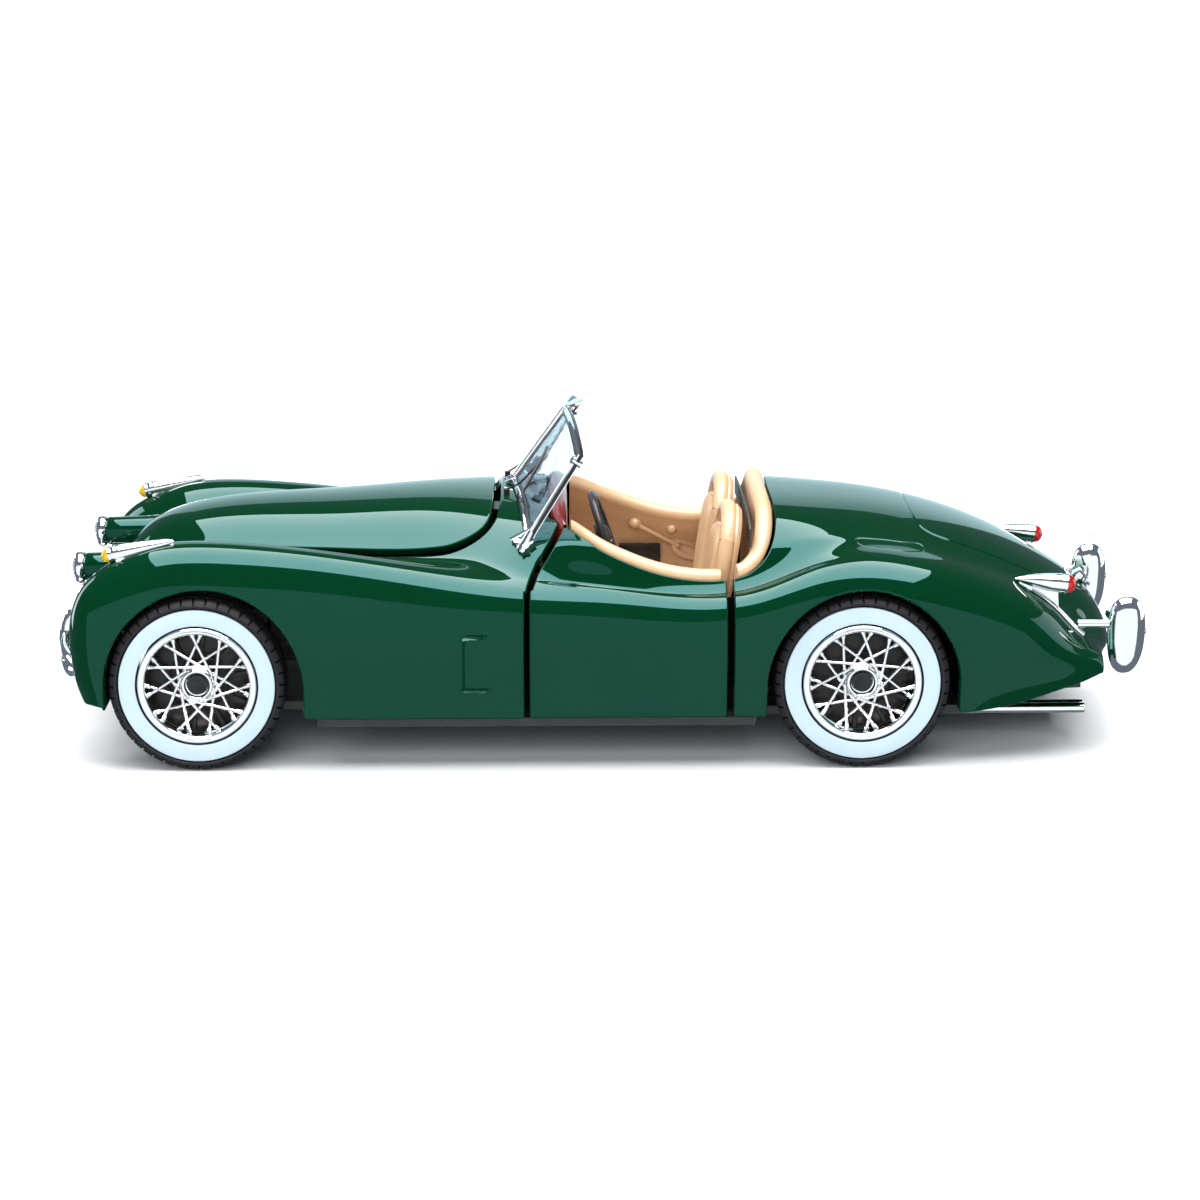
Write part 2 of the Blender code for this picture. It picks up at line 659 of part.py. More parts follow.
def side_y(x):
    """Half width of the cockpit opening at a station beside the doors."""
    line = [(sx(a), sy(b)) for a, b in COCKPIT_LINE[2:11]]
    for (x0, y0), (x1, y1) in zip(line, line[1:]):
        if x <= x1:
            return y0 + (y1 - y0) * (x - x0) / (x1 - x0)
    return line[-1][1]


TRIM_FOOT_Z = 11.6
DOOR_TRIM_FRONT = DOOR_PIN_X + 2.6


def door_trim(side, name):
    """Moulded inner panel with the rolled top that covers the door's upper edge."""
    front, rear = DOOR_TRIM_FRONT, DOOR_REAR - DOOR_REAR_GAP / 2 - 0.9
    rings = []
    for k in range(10):
        x = front + (rear - front) * k / 9
        edge = side_y(x)
        roll_y = edge - SEAT_GAP - RIM_ROLL
        roll_z = skin_z(x, edge) - 0.2
        section = []
        for a in range(7):
            turn = math.radians(-50 + a * 280 / 6)
            section.append((roll_y + RIM_ROLL * math.cos(turn),
                            roll_z + RIM_ROLL * math.sin(turn)))
        foot = sy(26.4)
        section.append((foot, TRIM_FOOT_Z))
        section.append((foot + 1.5, TRIM_FOOT_Z))
        rings.append([(x, side * y, z) for y, z in section])
    return solid(name, *loft(rings), beige(), smooth=True)


TUB_FLOOR = (PLATE_TOP + 0.7, PLATE_TOP + 1.9)


def interior_tub():
    """Floor, tunnel, rear bulkhead and the rolled rim behind the seats, one moulding."""
    half = sy(24.6)
    tub = solid("interior_tub", *box((sx(4.0), sx(37)), (-half, half), TUB_FLOOR), beige())
    path = []
    steps = 9
    start = 0.735
    for k in range(steps + 1):
        path.append(opening_point(start + (1 - start) * k / steps))
    first_x = DOOR_REAR + DOOR_REAR_GAP / 2 + 0.4
    path[0] = (first_x, side_y(first_x), skin_z(first_x, side_y(first_x)))
    line = [(x, y) for x, y, _ in path]
    full = line + [(x, -y) for x, y in line[-2::-1]]
    heights = [z for _, _, z in path]
    heights += heights[-2::-1]
    inward = []
    for i, (x, y) in enumerate(full):
        x0, y0 = full[max(i - 1, 0)]
        x1, y1 = full[min(i + 1, len(full) - 1)]
        length = math.hypot(x1 - x0, y1 - y0)
        nx, ny = (y1 - y0) / length, -(x1 - x0) / length
        off = RIM_ROLL + SEAT_GAP
        inward.append((x + nx * off, y + ny * off, heights[i] + 0.1))
    roll = swept(inward, [circle(RIM_ROLL, 10)])
    rings = []
    for i, (x, y, z) in enumerate(inward):
        x0, y0, _ = inward[max(i - 1, 0)]
        x1, y1, _ = inward[min(i + 1, len(inward) - 1)]
        length = math.hypot(x1 - x0, y1 - y0)
        nx, ny = (y1 - y0) / length, -(x1 - x0) / length
        foot_x, foot_y = min(x, sx(36.2)), y * 0.93
        rings.append([(x, y, z), (x + nx * 1.1, y + ny * 1.1, z - 0.8),
                      (foot_x + nx * 1.1, foot_y + ny * 1.1, TUB_FLOOR[0] + 0.2),
                      (foot_x, foot_y, TUB_FLOOR[0] + 0.2)])
    join(tub, loft(rings), roll)
    tunnel = [(-3.2, TUB_FLOOR[0] + 0.2), (3.2, TUB_FLOOR[0] + 0.2), (2.4, 14.4), (-2.4, 14.4)]
    join(tub, prism(tunnel, 0, sx(4.5), sx(35)))
    cut(tub, box((DOOR_PIN_X - 1.3, DOOR_PIN_X + 1.3), (sy(24) - 0.4, 30), (9, 12)))
    cut(tub, box((DOOR_PIN_X - 1.3, DOOR_PIN_X + 1.3), (-30, -sy(24) + 0.4), (9, 12)))
    tub.data.shade_smooth()
    tub.data.set_sharp_from_angle(angle=math.radians(40))
    return tub


def dashboard():
    """Padded panel that follows the cowl's edge, with a hole for the column."""
    rings = []
    rear = DOOR_TRIM_FRONT - 2 * SEAT_GAP
    for k in range(9):
        y = sy(17.0) * (k / 4 - 1)
        x = sx(3) + 0.4 + max(0, abs(y) - sy(15)) * 0.55
        top = skin_z(x - 0.4, y) - 0.4
        deep = rear - x
        section = [(x, 24), (x, top - 1), (x + 0.3 * deep, top + 0.4), (x + 0.75 * deep, top + 0.4),
                   (rear, top - 0.9), (rear - 0.2, top - 3), (rear - 0.9, top - 6),
                   (rear - 1.1, 24)]
        rings.append([(a, y, b) for a, b in section])
    brown = material("red_brown_plastic", (0.30, 0.035, 0.02), 0.35)
    panel = solid("dashboard", *loft(rings), brown)
    bore = COLUMN_RADIUS + SEAT_GAP
    cut(panel, tilt_shape(turned([(0, -14), (bore, -14), (bore, -4), (0, -4)], 0,
                                 (0, 0, 0), 12)))
    return panel


SEAT_Y = (3.9, 20.0)


def seat(side, name):
    """Cushion and back in one moulding, with a rounded outline."""
    outline = [(sx(14.5), 11.2), (sx(14.0), 16.0), (sx(15.5), 18.2), (sx(26.5), 17.0),
               (sx(29.5), 34.0), (sx(30.8), 39.2), (sx(32.6), 40.6), (sx(34.2), 39.2),
               (sx(34.0), 30.0), (sx(32.4), 11.2)]
    low, high = sy(SEAT_Y[0]), sy(SEAT_Y[1])
    mid_x, mid_z = sx(26), 20
    rings = []
    for y, shrink in ((low, 0.93), (low + 1.6, 1.0), (high - 1.6, 1.0), (high, 0.93)):
        rings.append([(mid_x + (x - mid_x) * shrink, side * y,
                       max(mid_z + (z - mid_z) * shrink, 11.2)) for x, z in outline])
    return solid(name, *loft(rings), beige(), smooth=True)


WHEEL_HUB = Vector((12.6, -10.9, 35.0))
WHEEL_TILT = math.radians(19.4)
COLUMN_DIR = Vector((math.cos(WHEEL_TILT), 0, math.sin(WHEEL_TILT)))
STEERING_RADIUS = 7.0


def tilted(points):
    """Places points given along the column's axis (x) and across it (y, z)."""
    up = Vector((-COLUMN_DIR.z, 0, COLUMN_DIR.x))
    hub = Vector((sx(WHEEL_HUB.x), sy(WHEEL_HUB.y), WHEEL_HUB.z))
    return [tuple(hub + COLUMN_DIR * a + Vector((0, 1, 0)) * b + up * c) for a, b, c in points]


def tilt_shape(shape):
    return tilted(shape[0]), shape[1]


def steering_wheel():
    ring = [(STEERING_RADIUS + 0.6 * math.cos(a), 0.6 * math.sin(a))
            for a in [2 * math.pi * k / 6 for k in range(6)]]
    rim = tilt_shape(turned(ring, 0, (0, 0, 0), 20))
    hub = (sx(WHEEL_HUB.x), sy(WHEEL_HUB.y), WHEEL_HUB.z)
    wheel = solid("steering_wheel", *rim, black(), hub, smooth=True)
    boss = turned([(0, -1.6), (1.5, -1.6), (1.5, -0.4), (0.9, 0.5), (0, 0.5)], 0, (0, 0, 0), 12)
    join(wheel, tilt_shape(boss))
    for k in range(4):
        turn = math.pi / 4 + k * math.pi / 2
        tip = (0, STEERING_RADIUS * math.cos(turn), STEERING_RADIUS * math.sin(turn))
        spoke = swept([(-0.8, 0, 0), tip], [circle(0.35, 6)])
        join(wheel, tilt_shape(spoke))
    cut(wheel, tilt_shape(turned([(0, -2), (0.6, -2), (0.6, -0.6), (0, -0.6)], 0,
                                 (0, 0, 0), 12)))
    return wheel


def steering_column():
    """Tube from the dash to the wheel with a thin spindle that the wheel turns on."""
    profile = [(0, -8.2), (COLUMN_RADIUS, -8.2), (COLUMN_RADIUS, -1.9), (0.5, -1.9),
               (0.5, -0.75), (0, -0.75)]
    shape = tilt_shape(turned(profile, 0, (0, 0, 0), 12))
    return solid("steering_column", *shape, black(), smooth=True)


def gear_lever():
    foot = Vector((sx(12), 0, 14.4 + SEAT_GAP))
    shape = swept([foot, foot + Vector((0.6, 0, 5.2))], [circle(0.4, 8)])
    lever = solid("gear_lever", *shape, chrome(), smooth=True)
    knob = foot + Vector((0.65, 0, 6.0))
    ball = [(0, -1.1), (0.8, -0.75), (1.1, 0), (0.8, 0.75), (0, 1.1)]
    join(lever, turned(ball, 2, tuple(knob), 10))
    return lever


# Windscreen: centre post foot and top, side post foot and top, in styled coordinates
SCREEN_FOOT = (-2.6, 0.0, 42.3)
SCREEN_TOP = (6.1, 0.0, 54.0)
SCREEN_CORNER = (8.2, 23.0, 50.6)
SCREEN_HEEL = (-0.3, 22.4, 36.6)


def screen_loop():
    """Closed path of one pane's frame: centre post, top rail, side post and foot rail."""
    def mix(a, b, t):
        return [p + (q - p) * t for p, q in zip(a, b)]
    loop = []
    for k in range(3):
        loop.append(mix(SCREEN_FOOT, SCREEN_TOP, k / 3))
    for k in range(5):
        p = mix(SCREEN_TOP, SCREEN_CORNER, k / 5)
        p[2] += 1.3 * math.sin(math.pi * k / 5)
        loop.append(p)
    for k in range(3):
        loop.append(mix(SCREEN_CORNER, SCREEN_HEEL, k / 3))
    for k in range(5):
        p = mix(SCREEN_HEEL, SCREEN_FOOT, k / 5)
        p[2] = skin_z(sx(p[0]), sy(p[1])) + FRAME_TUBE + SEAT_GAP + 0.15
        loop.append(p)
    return [Vector((sx(x), sy(y), z)) for x, y, z in loop]


def screen_frame():
    loop = screen_loop()
    shape = framed(loop, FRAME_TUBE, 6)
    frame = solid("windscreen_frame", *shape, chrome())
    join(frame, mirrored(shape))
    heel = loop[8] + (loop[11] - loop[8]) * 0.86
    for side in (-1, 1):
        foot = (heel.x - 1.9, side * (heel.y + 0.5), skin_z(heel.x - 1.9, heel.y + 0.5) + 0.8)
        join(frame, swept([(heel.x, side * heel.y, heel.z), foot], [circle(0.6, 6)]))
    cut(frame, body_sheet(SEAT_GAP, -2.0))
    frame.data.shade_smooth()
    frame.data.set_sharp_from_angle(angle=math.radians(50))
    return frame


def framed(loop, radius, count):
    """Round tube along a closed, nearly flat loop."""
    centre = sum(loop, Vector()) / len(loop)
    normal = Vector()
    for i, p in enumerate(loop):
        normal += (loop[i - 1] - centre).cross(p - centre)
    normal.normalize()
    rings = []
    for i, p in enumerate(loop):
        ahead = (loop[(i + 1) % len(loop)] - loop[i - 1]).normalized()
        side = ahead.cross(normal).normalized()
        rings.append([tuple(p + side * a + normal * b) for a, b in circle(radius, count)])
    return loft(rings, closed=True)


def glass(side, name):
    """Flat pane held inside the frame loop."""
    loop = screen_loop()
    centre = sum(loop, Vector()) / len(loop)
    normal = Vector()
    for i, p in enumerate(loop):
        normal += (loop[i - 1] - centre).cross(p - centre)
    normal.normalize()
    inner = []
    for i, p in enumerate(loop):
        ahead = (loop[(i + 1) % len(loop)] - loop[i - 1]).normalized()
        inward = ahead.cross(normal).normalized()
        if inward.dot(centre - p) < 0:
            inward = -inward
        inner.append(p + inward * (FRAME_TUBE + SEAT_GAP + 0.35))
    rings = [[tuple(p + normal * h) for p in inner] for h in (-GLASS / 2, GLASS / 2)]
    shape = loft(rings)
    clear = material("clear_plastic", (0.9, 0.95, 0.97), 0.03)
    return solid(name, *(shape if side > 0 else mirrored(shape)), clear)


def wipers():
    """Strip along the cowl ahead of the screen with two blades lying on it."""
    path = []
    for k in range(9):
        y = sy(11) * (k / 4 - 1)
        x = sx(-3.9) + 1.6 * abs(y) / sy(22)
        path.append((x, y, skin_z(x, y) + SEAT_GAP + 0.35))
    strip = solid("wipers", *swept(path, [circle(0.28, 6)]), black())
    cut(strip, body_sheet(SEAT_GAP, -2.0))
    return strip


def mirror():
    top = Vector((sx(SCREEN_TOP[0]), 0, SCREEN_TOP[2]))
    stem = rod(tuple(top + Vector((0.75, 0, -1.6))), tuple(top + Vector((2.4, 0, -2.0))), 0.3, 6)
    piece = solid("mirror", *stem, chrome())
    join(piece, box((top.x + 2.2, top.x + 3.1), (-2.6, 2.6), (top.z - 3.0, top.z - 1.2)))
    return piece


def headlight(side, tag):
    x, y, z = NACELLE_FRONT - SEAT_GAP, side * NACELLE_Y, NACELLE_Z
    ring = [(2.25, 0), (2.55, -0.1), (2.65, -0.7), (2.3, -1.4), (1.95, -1.5), (1.95, 0)]
    solid("headlight_bezel_" + tag, *turned(ring, 0, (x, y, z), 16), chrome(), smooth=True)
    dome = [(0, 0), (1.65, 0), (1.65, -1.2), (1.2, -1.8), (0, -2.1)]
    clear = material("clear_lens", (0.85, 0.9, 0.95), 0.05)
    solid("headlight_lens_" + tag, *turned(dome, 0, (x, y, z), 16), clear, smooth=True)


def pod(path, radii, count=12):
    """Round tapering body along a path; one radius for each point."""
    return swept(path, [circle(r, count) for r in radii])


def parking_lamp(side, tag):
    y = side * sy(25.07)
    start, end = Vector((sx(-68.0), y, 35.0)), Vector((sx(-57.6), y, 37.3))
    spots = [0, 0.12, 0.35, 0.65, 0.9, 1.0]
    radii = [1.25, 1.4, 1.35, 1.05, 0.6, 0.25]
    shape = pod([start + (end - start) * t for t in spots], radii)
    body = solid("parking_lamp_" + tag, *shape, chrome(), smooth=True)
    cut(body, body_sheet(SEAT_GAP, -3.0))
    tip = start + (start - end).normalized() * SEAT_GAP
    aim = (start - end).normalized()
    shape = pod([tip, tip + aim * 0.5, tip + aim * 0.95], [1.15, 1.0, 0.45])
    amber = material("amber_lens", (0.9, 0.55, 0.02), 0.1)
    lens = solid("parking_lens_" + tag, *shape, amber, smooth=True)
    cut(lens, body_sheet(SEAT_GAP, -3.0))


def tail_lamp(side, tag):
    y = side * sy(18.75)
    start, end = Vector((sx(80.3), y, 29.0)), Vector((sx(88.6), y, 28.0))
    spots = [0, 0.1, 0.3, 0.6, 0.85, 1.0]
    radii = [0.3, 0.75, 1.2, 1.5, 1.6, 1.5]
    shape = pod([start + (end - start) * t for t in spots], radii)
    body = solid("tail_lamp_" + tag, *shape, chrome(), smooth=True)
    stem = [(sx(82.5), 28.2), (sx(87.6), 27.4), (sx(89.2), 21), (sx(84.0), 24)]
    join(body, prism(stem, 1, *sorted((y - 0.8, y + 0.8))))
    cut(body, body_sheet(SEAT_GAP, -4.5))
    aim = (end - start).normalized()
    tip = end + aim * SEAT_GAP
    shape = pod([tip, tip + aim * 0.6, tip + aim * 1.1], [1.4, 1.2, 0.55])
    red = material("red_lens", (0.55, 0.01, 0.01), 0.1)
    solid("tail_lens_" + tag, *shape, red, smooth=True)


GRILLE_Z = 20.9
GRILLE_HALF_HEIGHT = 6.2
GRILLE_HALF_WIDTH = 5.0


def grille_outline(inset):
    return [(sy(1) * (GRILLE_HALF_WIDTH - inset) * math.cos(a),
             GRILLE_Z + (GRILLE_HALF_HEIGHT - inset) * math.sin(a))
            for a in [2 * math.pi * k / 24 for k in range(24)]]


def grille():
    """Oval ring with upright bars, seated in the nose opening."""
    front, back = sx(-71.6), sx(-69.8)
    ring = solid("grille", *prism(grille_outline(SEAT_GAP), 0, front, back), chrome())
    cut(ring, prism(grille_outline(SEAT_GAP + 0.8), 0, front - 1, back + 1))
    for k in range(-3, 4):
        y = k * 1.15
        reach = (GRILLE_HALF_HEIGHT - 0.8) * math.sqrt(1 - (y / GRILLE_HALF_WIDTH) ** 2)
        join(ring, box((front + 0.4, back - 0.3), (y - 0.22, y + 0.22),
                       (GRILLE_Z - reach, GRILLE_Z + reach)))
    return ring


BUMPER_Z = 16.8


def front_bumper():
    """Curved chrome blade with two overriders and two brackets to the body."""
    section = [(0.55, -1.7), (0.55, 1.7), (-0.1, 1.9), (-0.55, 1.0), (-0.25, 0), (-0.55, -1.0),
               (-0.1, -1.9)]
    path = []
    for k in range(13):
        t = k / 6 - 1
        y = sy(28.2) * t
        x = FRONT_END + 1.35 + 3.2 * t ** 4 + 0.6 * t ** 2
        path.append((x, y, BUMPER_Z))
    blade = solid("front_bumper", *swept(path, [[(-a, b) for a, b in section]]), chrome(),
                  smooth=True)
    for side in (-1, 1):
        y = side * sy(9.5)
        horn = [[(FRONT_END + 1.55 + rx * math.cos(a), y + ry * math.sin(a), z)
                 for a in [2 * math.pi * k / 10 for k in range(10)]]
                for z, rx, ry in ((13.2, 0.7, 0.8), (14.5, 1.3, 1.2), (17, 1.55, 1.4),
                                  (20.3, 1.3, 1.2), (22.0, 0.6, 0.6))]
        join(blade, loft(horn))
        arm = sorted((side * sy(15.5), side * sy(17.5)))
        join(blade, box((FRONT_END + 1.6, sx(-66)), arm, (BUMPER_Z - 0.7, BUMPER_Z + 0.7)))
    cut(blade, body_sheet(SEAT_GAP, -6.0))
    return blade


def rear_overrider(side, name):
    y = side * sy(19.6)
    rings = []
    for z, back, rx, ry in ((13.1, 0.9, 1.4, 1.3), (14.4, 0.45, 2.1, 1.9), (18.5, 0.1, 2.6, 2.2),
                            (22.5, 0.0, 2.9, 2.2), (24.8, 0.6, 2.3, 1.9), (25.9, 2.0, 1.2, 1.0)):
        rings.append([(REAR_END - back - rx + rx * math.cos(a), y + ry * math.sin(a), z)
                      for a in [2 * math.pi * k / 12 for k in range(12)]])
    horn = solid(name, *loft(rings), chrome(), smooth=True)
    join(horn, box((sx(89), REAR_END - 3), (y - 0.6, y + 0.6), (20.6, 21.9)))
    cut(horn, body_sheet(SEAT_GAP, -6.0))
    return horn


def boot_handle():
    x = sx(93.6)
    shape = box((x - 1.6, x + 1.6), (-2.6, 2.6), (skin_z(x, 0) - 2, skin_z(x, 0) + 1.6))
    handle = solid("boot_handle", *shape, chrome())
    cut(handle, body_sheet(SEAT_GAP, -4.0))
    return handle


PIPE_Z = 4.9
PIPE_RADIUS = 0.85


def exhaust_pipes():
    """Two tail pipes side by side from a silencer under the floor."""
    end = sx(93.3)
    pipes = solid("exhaust_pipes", *rod((sx(62), -11, PIPE_Z + 0.3), (sx(76), -11, PIPE_Z + 0.3),
                                        1.5), chrome(), smooth=True)
    for y in (-12.1, -10.1):
        join(pipes, rod((sx(75), y, PIPE_Z), (end, y, PIPE_Z), PIPE_RADIUS, 10))
        cut(pipes, rod((end - 6, y, PIPE_Z), (end + 1, y, PIPE_Z), PIPE_RADIUS - 0.3, 10))
    join(pipes, box((sx(77.5), sx(79)), (-12.1, -10.1), (PIPE_Z - 0.4, PIPE_Z + 0.4)))
    return pipes


EAR_Z = (19.0, 20.4)
TIE_X = STEER_ARM - AXLE_X


PAD_X = (sx(8), sx(54))
PAD_HALF_WIDTH = 13.0
PAD_DEPTH = 1.3


def chassis_plate():
    """Floor plate with a flat raised pad below, kingpin ears in front and axle ears behind."""
    front, mid, rear = 18.6, sy(31.2) - SKIN - 0.7, 22.6
    outline = [(sx(-67.5), 14), (-AXLE_X - 2, front), (-AXLE_X - 2, KINGPIN_Y + 1.4),
               (-AXLE_X + 2, KINGPIN_Y + 1.4), (-AXLE_X + 2, front), (sx(-35.6), front),
               (sx(-34.6), mid), (sx(36.6), mid), (sx(37.4), rear), (sx(71), rear), (sx(78), 17),
               (sx(88), 8), (sx(93.5), 7)]
    outline += [(x, -y) for x, y in reversed(outline)]
    plate = solid("chassis_plate", *prism(outline, 2, PLATE_BOTTOM, PLATE_TOP), black())
    for side in (-1, 1):
        x = -AXLE_X
        ear = [(14.6, PLATE_TOP - 0.6), (16.8, PLATE_TOP - 0.6), (16.8, EAR_Z[0]),
               (KINGPIN_Y + 1.4, EAR_Z[0]), (KINGPIN_Y + 1.4, EAR_Z[1]), (14.6, EAR_Z[1])]
        join(plate, prism([(side * a, b) for a, b in ear], 0, x - 2, x + 2))
        cut(plate, rod((x, side * KINGPIN_Y, 5), (x, side * KINGPIN_Y, 22),
                       KINGPIN_RADIUS + RUN_GAP, 16))
        x = AXLE_X
        low, high = sorted((side * 15.6, side * 17.6))
        join(plate, box((x - 2.4, x + 2.4), (low, high), (PLATE_TOP - 0.6, TYRE_RADIUS + 2.2)))
        cut(plate, rod((x, side * 14, TYRE_RADIUS), (x, side * 19, TYRE_RADIUS),
                       AXLE_RADIUS + RUN_GAP, 16))
    join(plate, box(PAD_X, (-PAD_HALF_WIDTH, PAD_HALF_WIDTH),
                    (PLATE_BOTTOM - PAD_DEPTH, PLATE_BOTTOM + 0.5)))
    for x in (FRONT_POST, REAR_POST):
        cut(plate, rod((x, 0, 5), (x, 0, 10), SCREW_RADIUS + LOOSE_GAP, 16))
    return plate


def screw(x, name):
    profile = [(0, PLATE_BOTTOM - 1.0), (SCREW_HEAD, PLATE_BOTTOM - 0.8),
               (SCREW_HEAD, PLATE_BOTTOM - 0.1), (SCREW_RADIUS, PLATE_BOTTOM - 0.1),
               (SCREW_RADIUS, PLATE_TOP + 6.5), (0, PLATE_TOP + 7)]
    steel = material("steel", (0.5, 0.5, 0.5), 0.35, 1.0)
    return solid(name, *turned(profile, 2, (x, 0, 0), 12), steel, smooth=True)


def knuckle(side, name):
    """Kingpin, block, stub axle with its head and the steering arm."""
    x, y = -AXLE_X, side * KINGPIN_Y
    pin = rod((x, y, PLATE_BOTTOM + 0.2), (x, y, EAR_Z[1] - 0.2), KINGPIN_RADIUS, 16)
    steel = material("steel", (0.5, 0.5, 0.5), 0.35, 1.0)
    piece = solid(name, *pin, steel, (x, y, TYRE_RADIUS))
    block = sorted((side * (KINGPIN_Y - 1.5), side * (KINGPIN_Y + 1.6)))
    join(piece, box((x - 1.7, x + 1.7), block, (PLATE_TOP + 1.6, EAR_Z[0] - SEAT_GAP)))
    join(piece, rod((x, y, TYRE_RADIUS), (x, side * (TYRE_FACE_Y - 0.9), TYRE_RADIUS),
                    AXLE_RADIUS, 16))
    join(piece, rod((x, side * (TYRE_FACE_Y - 1.3), TYRE_RADIUS),
                    (x, side * (TYRE_FACE_Y - 0.4), TYRE_RADIUS), AXLE_HEAD, 16))
    arm_y = sorted((side * (KINGPIN_Y - 1.3), side * (KINGPIN_Y + 1.3)))
    join(piece, box((x, TIE_X + 1.5), arm_y, (PLATE_TOP + 1.7, PLATE_TOP + 2.9)))
    hole = side * KINGPIN_Y
    cut(piece, rod((TIE_X, hole, PLATE_TOP), (TIE_X, hole, PLATE_TOP + 5),
                   TIE_PIN + LOOSE_GAP, 16))
    return piece


def tie_rod():
    reach = KINGPIN_Y
    steel = material("steel", (0.5, 0.5, 0.5), 0.35, 1.0)
    bar = solid("tie_rod", *box((TIE_X - 0.8, TIE_X + 0.8), (-reach - 0.9, reach + 0.9),
                                (PLATE_TOP + 0.4, PLATE_TOP + 1.3)), steel, (TIE_X, 0, PLATE_TOP))
    for side in (-1, 1):
        join(bar, rod((TIE_X, side * reach, PLATE_TOP + 0.8),
                      (TIE_X, side * reach, PLATE_TOP + 3.1), TIE_PIN))
    return bar


def rear_axle():
    half = TYRE_FACE_Y - 0.9
    profile = [(0, -half - 0.5), (AXLE_HEAD, -half - 0.5), (AXLE_HEAD, -half + 0.4),
               (AXLE_RADIUS, -half + 0.4), (AXLE_RADIUS, half - 0.4), (AXLE_HEAD, half - 0.4),
               (AXLE_HEAD, half + 0.5), (0, half + 0.5)]
    steel = material("steel", (0.5, 0.5, 0.5), 0.35, 1.0)
    return solid("rear_axle", *turned(profile, 1, (AXLE_X, 0, TYRE_RADIUS), 16), steel,
                 (AXLE_X, 0, TYRE_RADIUS), smooth=True)


def wheel_set(x, side, tag):
    """Tyre, whitewall ring and wire wheel on one axle end."""
    face = side * TYRE_FACE_Y
    centre = (x, face, TYRE_RADIUS)

    def spun(profile, count):
        return turned([(r, -side * d) for r, d in profile], 1, centre, count)
    wide = TYRE_WIDTH
    r = TYRE_RADIUS
    recess = WHITEWALL_THICK + SEAT_GAP
    tread = [(TYRE_BORE, recess), (WHITEWALL_OUTER + 0.3, recess), (WHITEWALL_OUTER + 0.3, 0.1),
             (r - 1.0, 0), (r, 0.9), (r, wide - 0.9), (r - 1.0, wide), (TYRE_BORE, wide - 0.5)]
    rubber = material("tyre_rubber", (0.015, 0.015, 0.015), 0.7)
    solid("tyre_" + tag, *spun(tread, 24), rubber, centre, smooth=True)
    ring = [(RIM_RADIUS + 0.3, 0.05), (WHITEWALL_OUTER, 0.0), (WHITEWALL_OUTER, WHITEWALL_THICK),
            (RIM_RADIUS + 0.3, WHITEWALL_THICK)]
    pale = material("whitewall", (0.62, 0.78, 0.85), 0.35)
    solid("whitewall_" + tag, *spun(ring, 24), pale, centre, smooth=True)
    hoop = [(RIM_RADIUS, 0.3), (RIM_WINDOW + 0.3, 0.1), (RIM_WINDOW, 0.6),
            (RIM_WINDOW, wide - 0.8), (RIM_RADIUS, wide - 0.8)]
    rim = solid("wire_wheel_" + tag, *spun(hoop, 20), chrome(), centre, smooth=True)
    boss = [(AXLE_RADIUS + RUN_GAP, 1.75), (HUB_RECESS, 1.75), (HUB_RECESS, 0.5),
            (HUB_RADIUS - 0.3, 0.5), (HUB_RADIUS, 1.2), (HUB_RADIUS, wide - 1.2),
            (AXLE_RADIUS + RUN_GAP, wide - 1.2)]
    tilt = math.asin(HUB_RADIUS * 0.8 / RIM_WINDOW)
    shapes = []
    for k in range(SPOKES):
        a = 2 * math.pi * (k + 0.5 * (k % 2)) / SPOKES
        lean = tilt if k % 2 else -tilt
        start = (x + (HUB_RADIUS - 0.5) * math.cos(a), face - side * 2.4,
                 TYRE_RADIUS + (HUB_RADIUS - 0.5) * math.sin(a))
        reach = RIM_WINDOW + 0.35
        end = (x + reach * math.cos(a + lean), face - side * 1.9,
               TYRE_RADIUS + reach * math.sin(a + lean))
        half = SPOKE_WIDTH / 2
        square = [(half, half), (-half, half), (-half, -half), (half, -half)]
        shapes.append(swept([start, end], [square]))
    join(rim, spun(boss, 16), *shapes)
    return rim


def engine():
    grey = material("engine_grey", (0.12, 0.12, 0.13), 0.5, 0.3)
    block = solid("engine_block", *box((sx(-44), sx(-15)), (-4.2, 4.2), (11.5, 25)), grey)
    join(block, box((sx(-46.5), sx(-44.5)), (-6, 6), (14, 28)))
    join(block, box((sx(-45), sx(-43.5)), (-1.5, 1.5), (18, 22)))
    join(block, box((sx(-15.5), sx(-9)), (-3, 3), (12, 20)))
    cover = [(-5.6, 25.3), (-5.6, 29.5), (-4.4, 31.5), (-2.6, 31.5), (-1.4, 29.5), (1.4, 29.5),
             (2.6, 31.5), (4.4, 31.5), (5.6, 29.5), (5.6, 25.3)]
    alloy = material("polished_alloy", (0.7, 0.7, 0.7), 0.2, 1.0)
    solid("cam_covers", *prism(cover, 0, sx(-42), sx(-17)), alloy)


def build():
    for obj in list(bpy.data.objects):
        bpy.data.objects.remove(obj)
    body_shell()
    hood()
    hood_hinge()
    for side, tag in ((-1, "left"), (1, "right")):
        door(side, "door_" + tag)
        door_hinge(side, "door_hinge_" + tag)
        door_trim(side, "door_trim_" + tag)
        seat(side, "seat_" + tag)
        glass(side, "glass_" + tag)
        headlight(side, tag)
        parking_lamp(side, tag)
        tail_lamp(side, tag)
        rear_overrider(side, "rear_overrider_" + tag)
        knuckle(side, "knuckle_" + tag)
        wheel_set(-AXLE_X, side, "front_" + tag)
        wheel_set(AXLE_X, side, "rear_" + tag)
    interior_tub()
    dashboard()
    steering_wheel()
    steering_column()
    gear_lever()
    screen_frame()
    wipers()
    mirror()
    grille()
    front_bumper()
    boot_handle()
    exhaust_pipes()
    chassis_plate()
    screw(FRONT_POST, "screw_front")
    screw(REAR_POST, "screw_rear")
    tie_rod()
    rear_axle()
    engine()


build()
